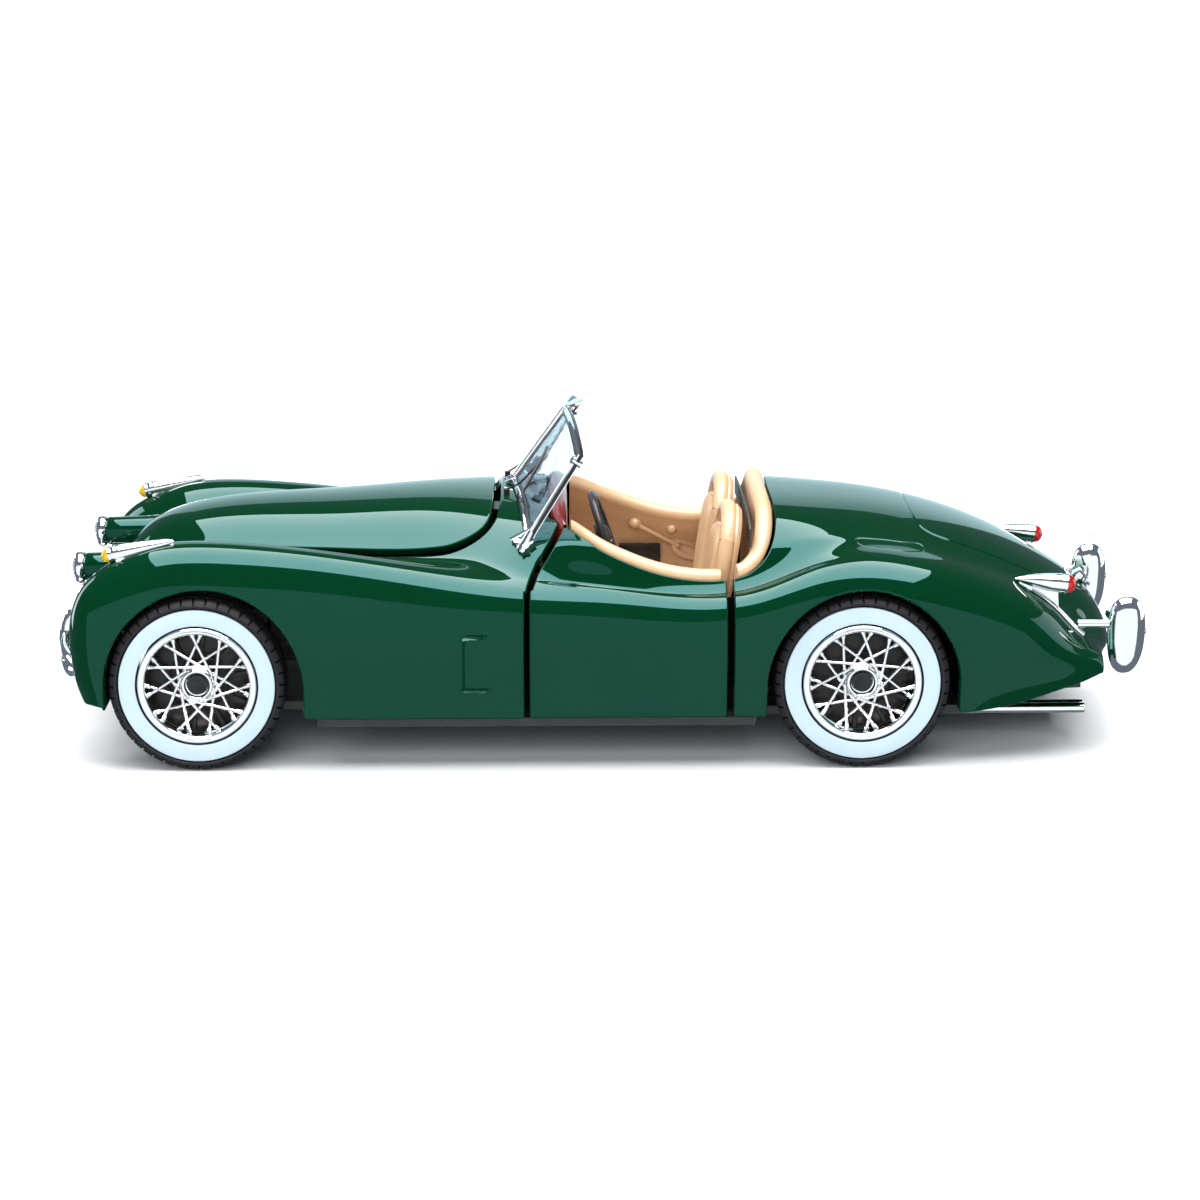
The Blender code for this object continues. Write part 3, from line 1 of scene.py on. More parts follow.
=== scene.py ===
"""Looks of the diecast roadster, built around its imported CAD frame.

Shapes are laid out in millimetres from mid wheelbase, nose towards -X, left side at -Y.
to_row() moves them to the row frame, in metres.
"""

import math

import bmesh
import bpy
import numpy as np
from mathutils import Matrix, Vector


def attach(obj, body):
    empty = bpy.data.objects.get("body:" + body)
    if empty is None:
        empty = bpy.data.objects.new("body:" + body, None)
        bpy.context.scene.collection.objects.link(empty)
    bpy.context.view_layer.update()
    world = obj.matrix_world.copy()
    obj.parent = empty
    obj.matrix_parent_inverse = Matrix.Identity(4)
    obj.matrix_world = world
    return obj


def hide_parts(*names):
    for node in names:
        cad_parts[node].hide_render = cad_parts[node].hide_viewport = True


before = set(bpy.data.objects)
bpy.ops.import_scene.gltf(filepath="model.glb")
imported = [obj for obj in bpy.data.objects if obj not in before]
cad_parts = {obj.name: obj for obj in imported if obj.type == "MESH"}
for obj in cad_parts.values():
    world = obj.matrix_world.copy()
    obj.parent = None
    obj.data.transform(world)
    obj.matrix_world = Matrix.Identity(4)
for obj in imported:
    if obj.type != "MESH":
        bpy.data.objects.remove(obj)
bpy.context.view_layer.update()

ORIGIN_X = 11.5

# Body surface: hoops from the nose to the tail, ten points each from the centreline down
HOOPS = [
    ([-69.0, -69.0, -68.6, -68.3, -69.2, -70.3, -71.0, -71.6, -71.9, -72.0],
     [0, 6, 11, 15, 18.5, 21, 22.8, 24, 25, 26],
     [13.5, 13.5, 13.4, 13.0, 12.4, 11.9, 11.4, 11.1, 10.95, 10.9]),
    ([-72.0, -71.6, -70.2, -68.9, -70.6, -73.1, -74.3, -74.2, -73.5, -72.5],
     [0, 6, 11, 15, 19, 22.5, 25, 26.8, 27.8, 28.4],
     [17.5, 17.5, 17.3, 17, 18, 18.5, 17.5, 15.5, 13.2, 11]),
    ([-72.6, -72.2, -70.6, -68.7, -70.8, -73.8, -74.6, -73.5, -72.3, -71.0],
     [0, 6, 11, 15, 19, 23.5, 27, 29.6, 30.3, 30.3],
     [22.5, 22.5, 22.3, 22, 24, 25.8, 24, 19.5, 15, 11]),
    ([-71.0, -70.6, -69.0, -66.5, -68.4, -71.0, -71.6, -70.4, -69.5, -68.8],
     [0, 6, 10.6, 14.8, 19.5, 24.5, 28.8, 31.3, 31.7, 31.2],
     [27.2, 27.1, 26.8, 26.4, 29.6, 31.4, 28.8, 21.5, 15.5, 10.6]),
    ([-67.5, -67.0, -65.2, -62.6, -63.8, -65.4, -65.7, -65.5, -65.5, -65.5],
     [0, 5.8, 10, 14.6, 20, 25, 29.3, 32.0, 32.3, 31.4],
     [31.4, 31.0, 29.7, 29.2, 33.6, 34.8, 31.4, 22, 15.5, 10]),
    ([-62.2, -61.5, -59.5, -58, -57.5, -58, -58, -58, -58, -58],
     [0, 5.6, 10, 14.8, 20, 25.2, 29.6, 32.4, 32.6, 31.6],
     [36.2, 35.6, 33.4, 31.4, 35.4, 36.7, 33.2, 22.5, 15.5, 9.5]),
    ([-50, -49.5, -48.5, -47.5, -47, -47, -47, -47, -47, -47],
     [0, 6, 11, 16, 20.8, 25.4, 29.8, 32.6, 32.6, 31.6],
     [39.1, 38.4, 35.8, 32.2, 35.5, 36.6, 33.2, 22.5, 15.5, 9]),
    (-33, [0, 6.8, 12.4, 17.6, 21.8, 26, 30, 32.6, 32.4, 31.4],
     [40.1, 39.3, 36.6, 32.8, 34.5, 35.2, 32.0, 22, 15, 8.6]),
    (-17, [0, 8, 14, 19.5, 23, 27, 30.5, 32.6, 32.3, 31.3],
     [41.2, 40.4, 37.6, 33.0, 33.0, 32.8, 29.6, 21.5, 15, 8.6]),
    (-3, [0, 9.2, 16.5, 22, 25, 28, 31, 32.6, 32.2, 31.2],
     [41.3, 40.7, 38.6, 35, 32.4, 30.8, 28, 21, 14.5, 8.6]),
    (11, [0, 10, 18, 23.8, 26.8, 29, 31.2, 32.6, 32.2, 31.2],
     [40.8, 40.4, 38.6, 35.2, 31.6, 29.6, 26.8, 20.5, 14.5, 8.7]),
    (24, [0, 10, 18, 23.5, 26.8, 29.3, 31.4, 32.7, 32.2, 31.2],
     [39.6, 39.2, 36.8, 32.4, 29.8, 28.4, 25.8, 20, 14.5, 8.7]),
    (36, [0, 9, 16.5, 22.5, 26, 29.2, 31.6, 32.9, 32.3, 31.2],
     [40.8, 40.4, 38.5, 33.5, 30.4, 29.2, 26.8, 20.5, 14.5, 8.8]),
    (47, [0, 9, 16, 21.5, 25, 28.7, 31.6, 33, 32.4, 31.3],
     [40.4, 40, 38.3, 35.6, 34.3, 33.0, 29.5, 21.5, 14.5, 8.8]),
    (58, [0, 8.6, 15.2, 20.6, 24.2, 28.2, 31.3, 32.9, 32.3, 31],
     [39.3, 38.9, 37.3, 35.4, 34.9, 33.6, 29.8, 21.5, 14.5, 8.9]),
    (69, [0, 8, 14, 19.2, 23, 27, 30.2, 31.7, 31.2, 29.8],
     [36.8, 36.4, 35.0, 33.2, 32.5, 31.3, 27.8, 20.8, 14.5, 8.7]),
    (79, [0, 7, 12.5, 17.2, 21, 24.8, 27.9, 29.4, 29, 27.8],
     [33.1, 32.7, 31.4, 29.6, 28.8, 27.7, 24.8, 19.4, 14.2, 9.8]),
    ([88, 87.8, 87.3, 86.6, 86.2, 85.8, 85.6, 85.8, 86, 86],
     [0, 6.2, 11.3, 15.8, 19.4, 22.8, 25.5, 27, 26.9, 26.2],
     [28.2, 27.8, 26.6, 25.0, 24.6, 23.6, 21.3, 17.8, 14.4, 11.6]),
    ([94.8, 94.6, 93.5, 91.6, 90.4, 89.9, 89.9, 90.4, 90.8, 91.0],
     [0, 6, 11, 15.4, 18.6, 21.4, 23.6, 24.9, 25, 24.4],
     [23.0, 22.8, 22.0, 21.0, 20.5, 19.8, 18.6, 16.8, 14.6, 12.8]),
    ([98.0, 97.7, 96.9, 95.6, 94.8, 94.5, 94.4, 94.4, 94.4, 94.4],
     [0, 6, 11, 15, 17.9, 20, 21.8, 22.8, 23.1, 22.9],
     [17.2, 17.1, 16.9, 16.9, 16.9, 16.8, 16.4, 15.6, 14.8, 14.0]),
    ([97.6, 97.3, 96.4, 95.2, 94.6, 94.2, 94.0, 93.9, 93.8, 93.7],
     [0, 6, 11, 14.9, 17.6, 19.6, 21.2, 22.1, 22.6, 22.6],
     [14.4, 14.4, 14.4, 14.4, 14.4, 14.3, 14.1, 13.8, 13.6, 13.4]),
]
LAST_HOOP = 19.3
HOOD_LINE = [(-68.4, 0), (-68.1, 3.8), (-67.0, 7.0), (-64.5, 9.2), (-60, 10.8), (-50, 13.3),
             (-42, 15.0), (-30, 16.8), (-16.6, 18.7), (-12.4, 19.0), (-8.6, 18.1),
             (-6.6, 16.2), (-5.8, 13), (-5.5, 8), (-5.5, 0)]
COCKPIT_LINE = [(3, 0), (3, 15), (4.4, 17.6), (6, 19.2), (9, 21.8), (12.5, 23.8), (18, 24.9),
                (24, 25.2), (30, 25.2), (34, 24.9), (36.5, 24.1), (38.7, 22.3), (40, 19.3),
                (40.4, 15), (40.2, 9), (40, 0)]
SKIN = 1.3
HOOD_GAP = 1.1
DOOR_FRONT = -0.5
DOOR_REAR = 32.6
DOOR_FRONT_GAP = 0.8
DOOR_REAR_GAP = 1.25
FRONT_ARCH = (-52.9, 14.1, 16.2)
REAR_ARCH = (54.2, 14.3, 15.7)
GRILLE_Z, GRILLE_TALL, GRILLE_WIDE = 20.9, 6.2, 5.0


# Body surface


def padded(control):
    control = np.concatenate([2 * control[:1] - control[1:2], control,
                              2 * control[-1:] - control[-2:-1]], 0)
    mirror = control[:, 1:2] * np.array([1, -1, 1])
    return np.concatenate([mirror, control, 2 * control[:, -1:] - control[:, -2:-1]], 1)


def weights(t, count):
    cell = np.clip(np.floor(t).astype(int), 0, count - 2)
    f = t - cell
    w = np.stack([(1 - f) ** 3, 3 * f ** 3 - 6 * f ** 2 + 4,
                  -3 * f ** 3 + 3 * f ** 2 + 3 * f + 1, f ** 3], -1) / 6
    return cell, w


def spline(control, u, v):
    i, wu = weights(u, control.shape[0] - 2)
    j, wv = weights(v, control.shape[1] - 2)
    total = 0
    for a in range(4):
        for b in range(4):
            total = total + control[i + a, j + b] * (wu[..., a] * wv[..., b])[..., None]
    return total


def net_control():
    points = np.zeros((len(HOOPS), 10, 3))
    for i, (x, y, z) in enumerate(HOOPS):
        points[i, :, 0] = x
        points[i, :, 1] = y
        points[i, :, 2] = z
    rows, cols = np.meshgrid(np.arange(len(HOOPS)), np.arange(10), indexing="ij")
    control = points.copy()
    for _ in range(3):
        control += points - spline(padded(control), rows * 1.0, cols * 1.0)
    return padded(control)


NET = net_control()


def surface(uv):
    """Points of the body at (u, v); v runs from -9 at the left sill to 9 at the right."""
    at = spline(NET, uv[:, 0], np.abs(uv[:, 1]))
    at[:, 1] *= np.where(uv[:, 1] < 0, -1, 1)
    return at


def surface_normal(uv):
    step = 0.01
    u, v = uv[:, 0], np.abs(uv[:, 1])
    along = spline(NET, u + step, v) - spline(NET, u - step, v)
    across = spline(NET, u, v + step) - spline(NET, u, v - step)
    n = np.cross(along, across)
    n /= np.linalg.norm(n, axis=-1, keepdims=True)
    n[:, 1] *= np.where(uv[:, 1] < 0, -1, 1)
    return n


_gu, _gv = np.meshgrid(np.linspace(0, LAST_HOOP, 301), np.linspace(-6.9, 6.9, 181), indexing="ij")
_SAMPLE_UV = np.stack([_gu.ravel(), _gv.ravel()], 1)
_SAMPLE = surface(_SAMPLE_UV)


def skin_at(x, y):
    """(u, v) of the upper skin over the plan point x, y."""
    uv = _SAMPLE_UV[np.argmin((_SAMPLE[:, 0] - x) ** 2 + (_SAMPLE[:, 1] - y) ** 2)].copy()
    for _ in range(6):
        p = surface(uv[None])[0]
        h = 1e-3
        du = (surface(uv[None] + (h, 0))[0] - p)[:2] / h
        dv = (surface(uv[None] + (0, h))[0] - p)[:2] / h
        step = np.linalg.lstsq(np.stack([du, dv], 1), np.array([x, y]) - p[:2], rcond=None)[0]
        uv += np.clip(step, -0.3, 0.3)
    return uv


def skin_z(x, y):
    return float(surface(skin_at(x, y)[None])[0, 2])


def skin_frame(x, y):
    """Point on the upper skin and its normal, as vectors."""
    uv = skin_at(x, y)[None]
    return Vector(surface(uv)[0]), Vector(surface_normal(uv)[0])


# Outlines and distances


def rounded(points, closed=True, fine=12):
    """Smooth line through the points (Catmull-Rom)."""
    p = np.array(points, float)
    count = len(p)
    out = []
    for i in range(count if closed else count - 1):
        if closed:
            a, b, c, d = (p[(i + k) % count] for k in (-1, 0, 1, 2))
        else:
            a, b, c, d = p[max(i - 1, 0)], p[i], p[i + 1], p[min(i + 2, count - 1)]
        for t in np.arange(fine) / fine:
            out.append(0.5 * (2 * b + (c - a) * t + (2 * a - 5 * b + 4 * c - d) * t ** 2
                              + (3 * b - a - 3 * c + d) * t ** 3))
    if not closed:
        out.append(p[-1])
    return np.array(out)


def whole(line, closed=True):
    right = list(line)
    return rounded(right + [(x, -y) for x, y in right[-2:0:-1]], closed, 6)


def inside(points, line):
    """Signed distance to a closed line: above 0 inside it."""
    a, b = line, np.roll(line, -1, 0)
    d = b - a
    best = np.full(len(points), 1e9)
    odd = np.zeros(len(points), bool)
    for p, q, e in zip(a, b, d):
        w = points - p
        t = np.clip((w @ e) / (e @ e), 0, 1)
        best = np.minimum(best, ((w - t[:, None] * e) ** 2).sum(1))
        hit = (p[1] > points[:, 1]) != (q[1] > points[:, 1])
        if hit.any():
            cross = p[0] + (points[:, 1] - p[1]) * e[0] / (e[1] if e[1] else 1e-9)
            odd ^= hit & (points[:, 0] < cross)
    return np.where(odd, 1, -1) * np.sqrt(best)


def apart(points, line):
    """Distance to an open line."""
    best = np.full(len(points), 1e9)
    for p, q in zip(line, line[1:]):
        e = q - p
        w = points - p
        t = np.clip((w @ e) / (e @ e), 0, 1)
        best = np.minimum(best, ((w - t[:, None] * e) ** 2).sum(1))
    return np.sqrt(best)


HOOD_OUTLINE = whole(HOOD_LINE)
COCKPIT_OUTLINE = whole(COCKPIT_LINE)


def in_hood(p):
    f = inside(p[:, :2], HOOD_OUTLINE)
    return np.where(p[:, 2] > 24, f, -9)


def in_cockpit(p):
    f = inside(p[:, :2], COCKPIT_OUTLINE)
    return np.where(p[:, 2] > 24, f, -9)


DOOR_LEAN = rounded([(0, 0), (0, 27), (0.35, 29.6), (1.5, 32.2), (3.1, 34.6), (5.9, 39), (9, 46)],
                    False, 8)


def in_door(p):
    """Above 0 between the door's front and rear lines, on the flanks."""
    front = DOOR_FRONT + np.interp(p[:, 2], DOOR_LEAN[:, 1], DOOR_LEAN[:, 0])
    slope = np.interp(p[:, 2], DOOR_LEAN[:, 1], np.gradient(DOOR_LEAN[:, 0], DOOR_LEAN[:, 1]))
    f = np.minimum((p[:, 0] - front) / np.sqrt(1 + slope ** 2), DOOR_REAR - p[:, 0])
    return np.minimum(f, np.abs(p[:, 1]) - 12)


def in_arch(p, arch):
    x, z, r = arch
    low = np.abs(p[:, 0] - x)
    high = np.hypot(p[:, 0] - x, p[:, 2] - z)
    f = r - np.where(p[:, 2] > z, high, low)
    return np.minimum(f, np.abs(p[:, 1]) - 17)


def in_grille(p):
    k = np.hypot(p[:, 1] / GRILLE_WIDE, (p[:, 2] - GRILLE_Z) / GRILLE_TALL)
    return np.where(p[:, 0] < -60, (1 - k) * GRILLE_WIDE, -9)


# Mesh tools


class Patch:
    """Part of the body's skin as triangles over (u, v)."""

    def __init__(self, us, vs):
        rows, cols = len(us), len(vs)
        u, v = np.meshgrid(us, vs, indexing="ij")
        self.uv = np.stack([u.ravel(), v.ravel()], 1)
        i = np.arange(rows * cols).reshape(rows, cols)
        a, b, c, d = i[:-1, :-1].ravel(), i[:-1, 1:].ravel(), i[1:, 1:].ravel(), i[1:, :-1].ravel()
        self.tri = np.concatenate([np.stack([a, d, c], 1), np.stack([a, c, b], 1)])

    def split(self, field, level=0.0, keep=0):
        """Cuts the triangles along field = level; keep 1 or -1 drops the other side."""
        p = surface(self.uv)
        g = field(p) - level
        g = np.where(np.abs(g) < 1e-4, 1e-4, g)
        up = g > 0
        t = self.tri
        n = up[t].sum(1)
        whole_in, whole_out = t[n == 3], t[n == 0]
        mixed = t[(n == 1) | (n == 2)]
        lone_up = up[mixed].sum(1) == 1
        lone = np.where(lone_up[:, None], up[mixed], ~up[mixed]).argmax(1)
        k = np.arange(len(mixed))
        a, b, c = mixed[k, lone], mixed[k, (lone + 1) % 3], mixed[k, (lone + 2) % 3]
        pairs = np.sort(np.concatenate([np.stack([a, b], 1), np.stack([a, c], 1)]), 1)
        edges, index = np.unique(pairs, axis=0, return_inverse=True)
        index = index.ravel() + len(self.uv)
        ga, gb = g[edges[:, 0]], g[edges[:, 1]]
        s = ga / (ga - gb)
        ea, eb = self.uv[edges[:, 0]], self.uv[edges[:, 1]]
        for _ in range(2):
            mid = ea + (eb - ea) * s[:, None]
            gm = field(surface(mid)) - level
            low = np.sign(gm) == np.sign(ga)
            trial = np.where(low, s + (1 - s) * gm / np.where(np.abs(gm - gb) < 1e-9, 1, gm - gb),
                             s * ga / np.where(np.abs(ga - gm) < 1e-9, 1, ga - gm))
            s = np.clip(np.where(np.isfinite(trial), trial, s), 0.001, 0.999)
        self.uv = np.concatenate([self.uv, ea + (eb - ea) * s[:, None]])
        half = len(mixed)
        ab, ac = index[:half], index[half:]
        ones = np.stack([a, ab, ac], 1)
        twos = np.concatenate([np.stack([ab, b, c], 1), np.stack([ab, c, ac], 1)])
        two_up = np.concatenate([~lone_up, ~lone_up])
        high = np.concatenate([whole_in, ones[lone_up], twos[two_up]])
        low = np.concatenate([whole_out, ones[~lone_up], twos[~two_up]])
        self.tri = high if keep > 0 else low if keep < 0 else np.concatenate([high, low])
        self.compact()
        return self

    def compact(self):
        used, inverse = np.unique(self.tri, return_inverse=True)
        self.uv = self.uv[used]
        self.tri = inverse.reshape(-1, 3)


def rim_loops(tri):
    """Next vertex along the open rim for each rim vertex."""
    e = np.concatenate([tri[:, [0, 1]], tri[:, [1, 2]], tri[:, [2, 0]]])
    key = e[:, 0].astype(np.int64) * (tri.max() + 1) + e[:, 1]
    back = e[:, 1].astype(np.int64) * (tri.max() + 1) + e[:, 0]
    return e[~np.isin(key, back)]


def eased(value, low, high):
    t = np.clip((value - low) / (high - low), 0, 1)
    return t * t * (3 - 2 * t)


def shoulder(uv, n):
    """Normals turned about the car's length where the panel steepens below the cockpit rim."""
    u, v = uv[:, 0], np.abs(uv[:, 1])
    along = eased(u, 8.9, 9.8) * (1 - eased(u, 12.7, 13.8)) * eased(v, 2.6, 3.0)
    turn = 21 * (1 - eased(v, 4.42, 4.66)) - 15 * eased(v, 4.5, 4.7) * (1 - eased(v, 4.76, 5.0))
    turn = np.radians(turn * along) * np.sign(uv[:, 1])
    out = n.copy()
    out[:, 1] = n[:, 1] * np.cos(turn) + n[:, 2] * np.sin(turn)
    out[:, 2] = n[:, 2] * np.cos(turn) - n[:, 1] * np.sin(turn)
    return out


def thick_panel(patch, lip=0.35, thick=SKIN, grooves=()):
    """Closed panel from a patch: outer skin, rolled lip, wall and inner skin, with normals.

    Each groove is (field, half width, depth): the skin dips where |field| < half width.
    """
    p, n = surface(patch.uv), surface_normal(patch.uv)
    outer_n = shoulder(patch.uv, n)
    outer = p.copy()
    for field, half, depth in grooves:
        f = field(p)
        t = np.clip(np.abs(f) / half, 0, 1)
        dip = depth * (1 - t ** 2) ** 2
        outer -= n * dip[:, None]
        h = 0.02
        slope = np.zeros_like(p)
        near = t < 1
        q = p[near]
        if len(q):
            df = np.stack([(field(q + np.eye(3)[k] * h) - field(q - np.eye(3)[k] * h)) / (2 * h)
                           for k in range(3)], 1)
            tn = f[near] / half
            rate = depth * 2 * (1 - tn ** 2) * (-2 * tn / half)
            slope[near] = df * rate[:, None]
            outer_n += slope
    outer_n /= np.linalg.norm(outer_n, axis=1, keepdims=True)
    rim = rim_loops(patch.tri)
    ids = np.unique(rim)
    out_dir = np.zeros_like(p)
    e = p[rim[:, 1]] - p[rim[:, 0]]
    e /= np.linalg.norm(e, axis=1, keepdims=True) + 1e-12
    away = np.cross(e, n[rim[:, 0]])
    np.add.at(out_dir, rim[:, 0], away)
    np.add.at(out_dir, rim[:, 1], away)
    t = out_dir[ids]
    t -= n[ids] * (t * n[ids]).sum(1, keepdims=True)
    t /= np.linalg.norm(t, axis=1, keepdims=True) + 1e-12
    base, up = p[ids], n[ids]
    verts, normals = [outer], [outer_n]
    count = len(p)
    slot_of = np.full(len(p), -1)
    slot_of[ids] = np.arange(len(ids))
    rings = [ids]
    steps = 4
    for k in range(1, steps + 1):
        a = math.pi / 2 * k / steps
        verts.append(base + t * lip * math.sin(a) - up * lip * (1 - math.cos(a)))
        normals.append(up * math.cos(a) + t * math.sin(a))
        rings.append(count + np.arange(len(ids)))
        count += len(ids)
    verts.append(base + t * lip - up * thick)
    normals.append(t)
    rings.append(count + np.arange(len(ids)))
    count += len(ids)
    inner_first = count
    verts.append(p - n * thick)
    normals.append(-n)
    rings.append(inner_first + ids)
    a, b = slot_of[rim[:, 0]], slot_of[rim[:, 1]]
    faces = [patch.tri, patch.tri[:, ::-1] + inner_first]
    quads = [np.stack([r0[a], r1[a], r1[b], r0[b]], 1) for r0, r1 in zip(rings, rings[1:])]
    return np.concatenate(verts), faces, quads, np.concatenate(normals)


def to_row(points):
    return (np.asarray(points, float) - (ORIGIN_X, 0, 0)) * 0.001


def link(name, mesh, body, look, replaces=()):
    mesh.materials.append(look["material"])
    obj = bpy.data.objects.new(name, mesh)
    bpy.context.scene.collection.objects.link(obj)
    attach(obj, body)
    if replaces:
        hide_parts(*replaces)
    return obj


def panel(name, body, look, patch, replaces=(), **extra):
    verts, tris, quads, normals = thick_panel(patch, **extra)
    mesh = bpy.data.meshes.new(name)
    faces = [f for group in tris + quads for f in group.tolist()]
    mesh.from_pydata(to_row(verts).tolist(), [], faces)
    mesh.shade_smooth()
    mesh.normals_split_custom_set_from_vertices(normals.tolist())
    return link(name, mesh, body, look, replaces)


def piece(name, body, look, shapes, replaces=(), angle=35, bevel=0):
    """Object from one or more (verts, faces) shapes, faces turned outwards."""
    if isinstance(shapes, tuple):
        shapes = [shapes]
    verts, faces = [], []
    for v, f in shapes:
        faces += [tuple(i + len(verts) for i in face) for face in f]
        verts += [tuple(p) for p in v]
    bm = bmesh.new()
    made = [bm.verts.new(p) for p in to_row(verts).tolist()]
    for face in faces:
        bm.faces.new([made[i] for i in face])
    bmesh.ops.recalc_face_normals(bm, faces=bm.faces)
    if bevel:
        sharp = [e for e in bm.edges if len(e.link_faces) == 2
                 and e.calc_face_angle(0) > math.radians(38)]
        bmesh.ops.bevel(bm, geom=sharp, offset=bevel * 0.001, segments=2, profile=0.6,
                        affect="EDGES", clamp_overlap=True)
    mesh = bpy.data.meshes.new(name)
    bm.to_mesh(mesh)
    bm.free()
    mesh.shade_smooth()
    if angle:
        mesh.set_sharp_from_angle(angle=math.radians(angle))
    return link(name, mesh, body, look, replaces)


def box(x, y, z):
    verts = [(a, b, c) for a in x for b in y for c in z]
    faces = [(0, 1, 3, 2), (4, 6, 7, 5), (0, 4, 5, 1), (2, 3, 7, 6), (0, 2, 6, 4), (1, 5, 7, 3)]
    return verts, faces


def loft(rings, closed=False, caps=True):
    count = len(rings[0])
    verts = [tuple(p) for ring in rings for p in ring]
    faces = []
    for i in range(len(rings) if closed else len(rings) - 1):
        a, b = i * count, ((i + 1) % len(rings)) * count
        for k in range(count):
            n = (k + 1) % count
            faces.append((a + k, a + n, b + n, b + k))
    if caps and not closed:
        faces.append(tuple(range(count)))
        faces.append(tuple(range(len(verts) - count, len(verts))))
    return verts, faces


def circle(radius, count, phase=0.0, tall=None):
    tall = radius if tall is None else tall
    return [(radius * math.cos(phase + 2 * math.pi * k / count),
             tall * math.sin(phase + 2 * math.pi * k / count)) for k in range(count)]


def turned(profile, axis, centre, count=48, phase=0.0):
    """Turned body; a profile that starts and ends at radius 0 gets pole points."""
    cx, cy, cz = centre

    def ring(radius, level):
        out = []
        for a, b in circle(radius, count, phase):
            p = [a, b]
            p.insert(axis, level)
            out.append((cx + p[0], cy + p[1], cz + p[2]))
        return out
    if profile[0][0]:
        return loft([ring(r, d) for r, d in profile], closed=True)
    verts, faces = loft([ring(r, d) for r, d in profile[1:-1]], caps=False)
    for level, first in ((profile[0][1], 0), (profile[-1][1], len(verts) - count)):
        tip = [0, 0]
        tip.insert(axis, level)
        verts.append((cx + tip[0], cy + tip[1], cz + tip[2]))
        faces += [(first + k, first + (k + 1) % count, len(verts) - 1) for k in range(count)]
    return verts, faces


def sweep(path, sections, closed=False, up=(0, 0, 1), caps=True):
    """Carries 2-D sections along a path without twist; one section or one per point."""
    path = [Vector(p) for p in path]
    if isinstance(sections[0][0], (int, float)):
        sections = [sections]
    count = len(path)
    rings = []
    upper = Vector(up)
    for i, p in enumerate(path):
        before = path[i - 1] if i or closed else p
        after = path[(i + 1) % count] if i + 1 < count or closed else p
        ahead = (after - before).normalized()
        side = ahead.cross(upper)
        if side.length < 1e-3:
            side = ahead.cross(Vector((1, 0, 0)))
        side.normalize()
        top = side.cross(ahead)
        rings.append([tuple(p + side * a + top * b) for a, b in sections[i % len(sections)]])
    return loft(rings, closed, caps)


def rod(start, end, radius, count=20):
    return sweep([start, end], circle(radius, count))


def pod(path, radii, count=32, squash=1.0):
    return sweep(path, [circle(r, count, 0, r * squash) for r in radii])


def prism(outline, axis, low, high):
    def point(p, level):
        q = list(p)
        q.insert(axis, level)
        return tuple(q)
    return loft([[point(p, low) for p in outline], [point(p, high) for p in outline]])


def mirrored(shape):
    return [(x, -y, z) for x, y, z in shape[0]], shape[1]


def sided(shape, side):
    """A shape laid out for the right side, or its mirror image for the left."""
    return shape if side > 0 else mirrored(shape)


# Materials


def look(slot, color, rough=0.4, metal=0.0, ior=1.5, tint=None, coat=0.0, clear=0.0, alpha=None,
         bump=(), mottle=None, rough_mottle=0.0, tag=""):
    """Procedural finish. bump is a list of (features per mm, height in mm); mottle is
    (features per mm, second colour, share)."""
    mat = bpy.data.materials.new(slot + tag)
    mat.use_nodes = True
    tree = mat.node_tree
    shader = tree.nodes["Principled BSDF"]
    shader.inputs["Base Color"].default_value = (*color, 1)
    shader.inputs["Roughness"].default_value = rough
    shader.inputs["Metallic"].default_value = metal
    shader.inputs["IOR"].default_value = ior
    if tint:
        shader.inputs["Specular Tint"].default_value = (*tint, 1)
    if coat:
        shader.inputs["Coat Weight"].default_value = coat
        shader.inputs["Coat Roughness"].default_value = 0.04
    if clear:
        shader.inputs["Transmission Weight"].default_value = clear
    if alpha is not None:
        shader.inputs["Alpha"].default_value = alpha
    coords = tree.nodes.new("ShaderNodeTexCoord")

    def noise(per_mm, detail=3.0):
        tex = tree.nodes.new("ShaderNodeTexNoise")
        tex.inputs["Scale"].default_value = per_mm * 1000
        tex.inputs["Detail"].default_value = detail
        tree.links.new(coords.outputs["Object"], tex.inputs["Vector"])
        return tex
    if mottle:
        per_mm, second, share = mottle
        ramp = tree.nodes.new("ShaderNodeValToRGB")
        ramp.color_ramp.elements[0].position = 0.5 - share / 2
        ramp.color_ramp.elements[1].position = 0.5 + share / 2
        ramp.color_ramp.elements[0].color = (*color, 1)
        ramp.color_ramp.elements[1].color = (*second, 1)
        tree.links.new(noise(per_mm, 6).outputs["Fac"], ramp.inputs["Fac"])
        tree.links.new(ramp.outputs["Color"], shader.inputs["Base Color"])
    if rough_mottle:
        span = tree.nodes.new("ShaderNodeMapRange")
        span.inputs["To Min"].default_value = max(rough - rough_mottle, 0.005)
        span.inputs["To Max"].default_value = rough + rough_mottle
        tree.links.new(noise(0.35, 4).outputs["Fac"], span.inputs["Value"])
        tree.links.new(span.outputs["Result"], shader.inputs["Roughness"])
    before = None
    for per_mm, height in bump:
        node = tree.nodes.new("ShaderNodeBump")
        node.inputs["Distance"].default_value = height * 0.001
        tree.links.new(noise(per_mm, 2).outputs["Fac"], node.inputs["Height"])
        if before:
            tree.links.new(before.outputs["Normal"], node.inputs["Normal"])
        before = node
    if before:
        tree.links.new(before.outputs["Normal"], shader.inputs["Normal"])
    return {"material": mat, "slot": slot}


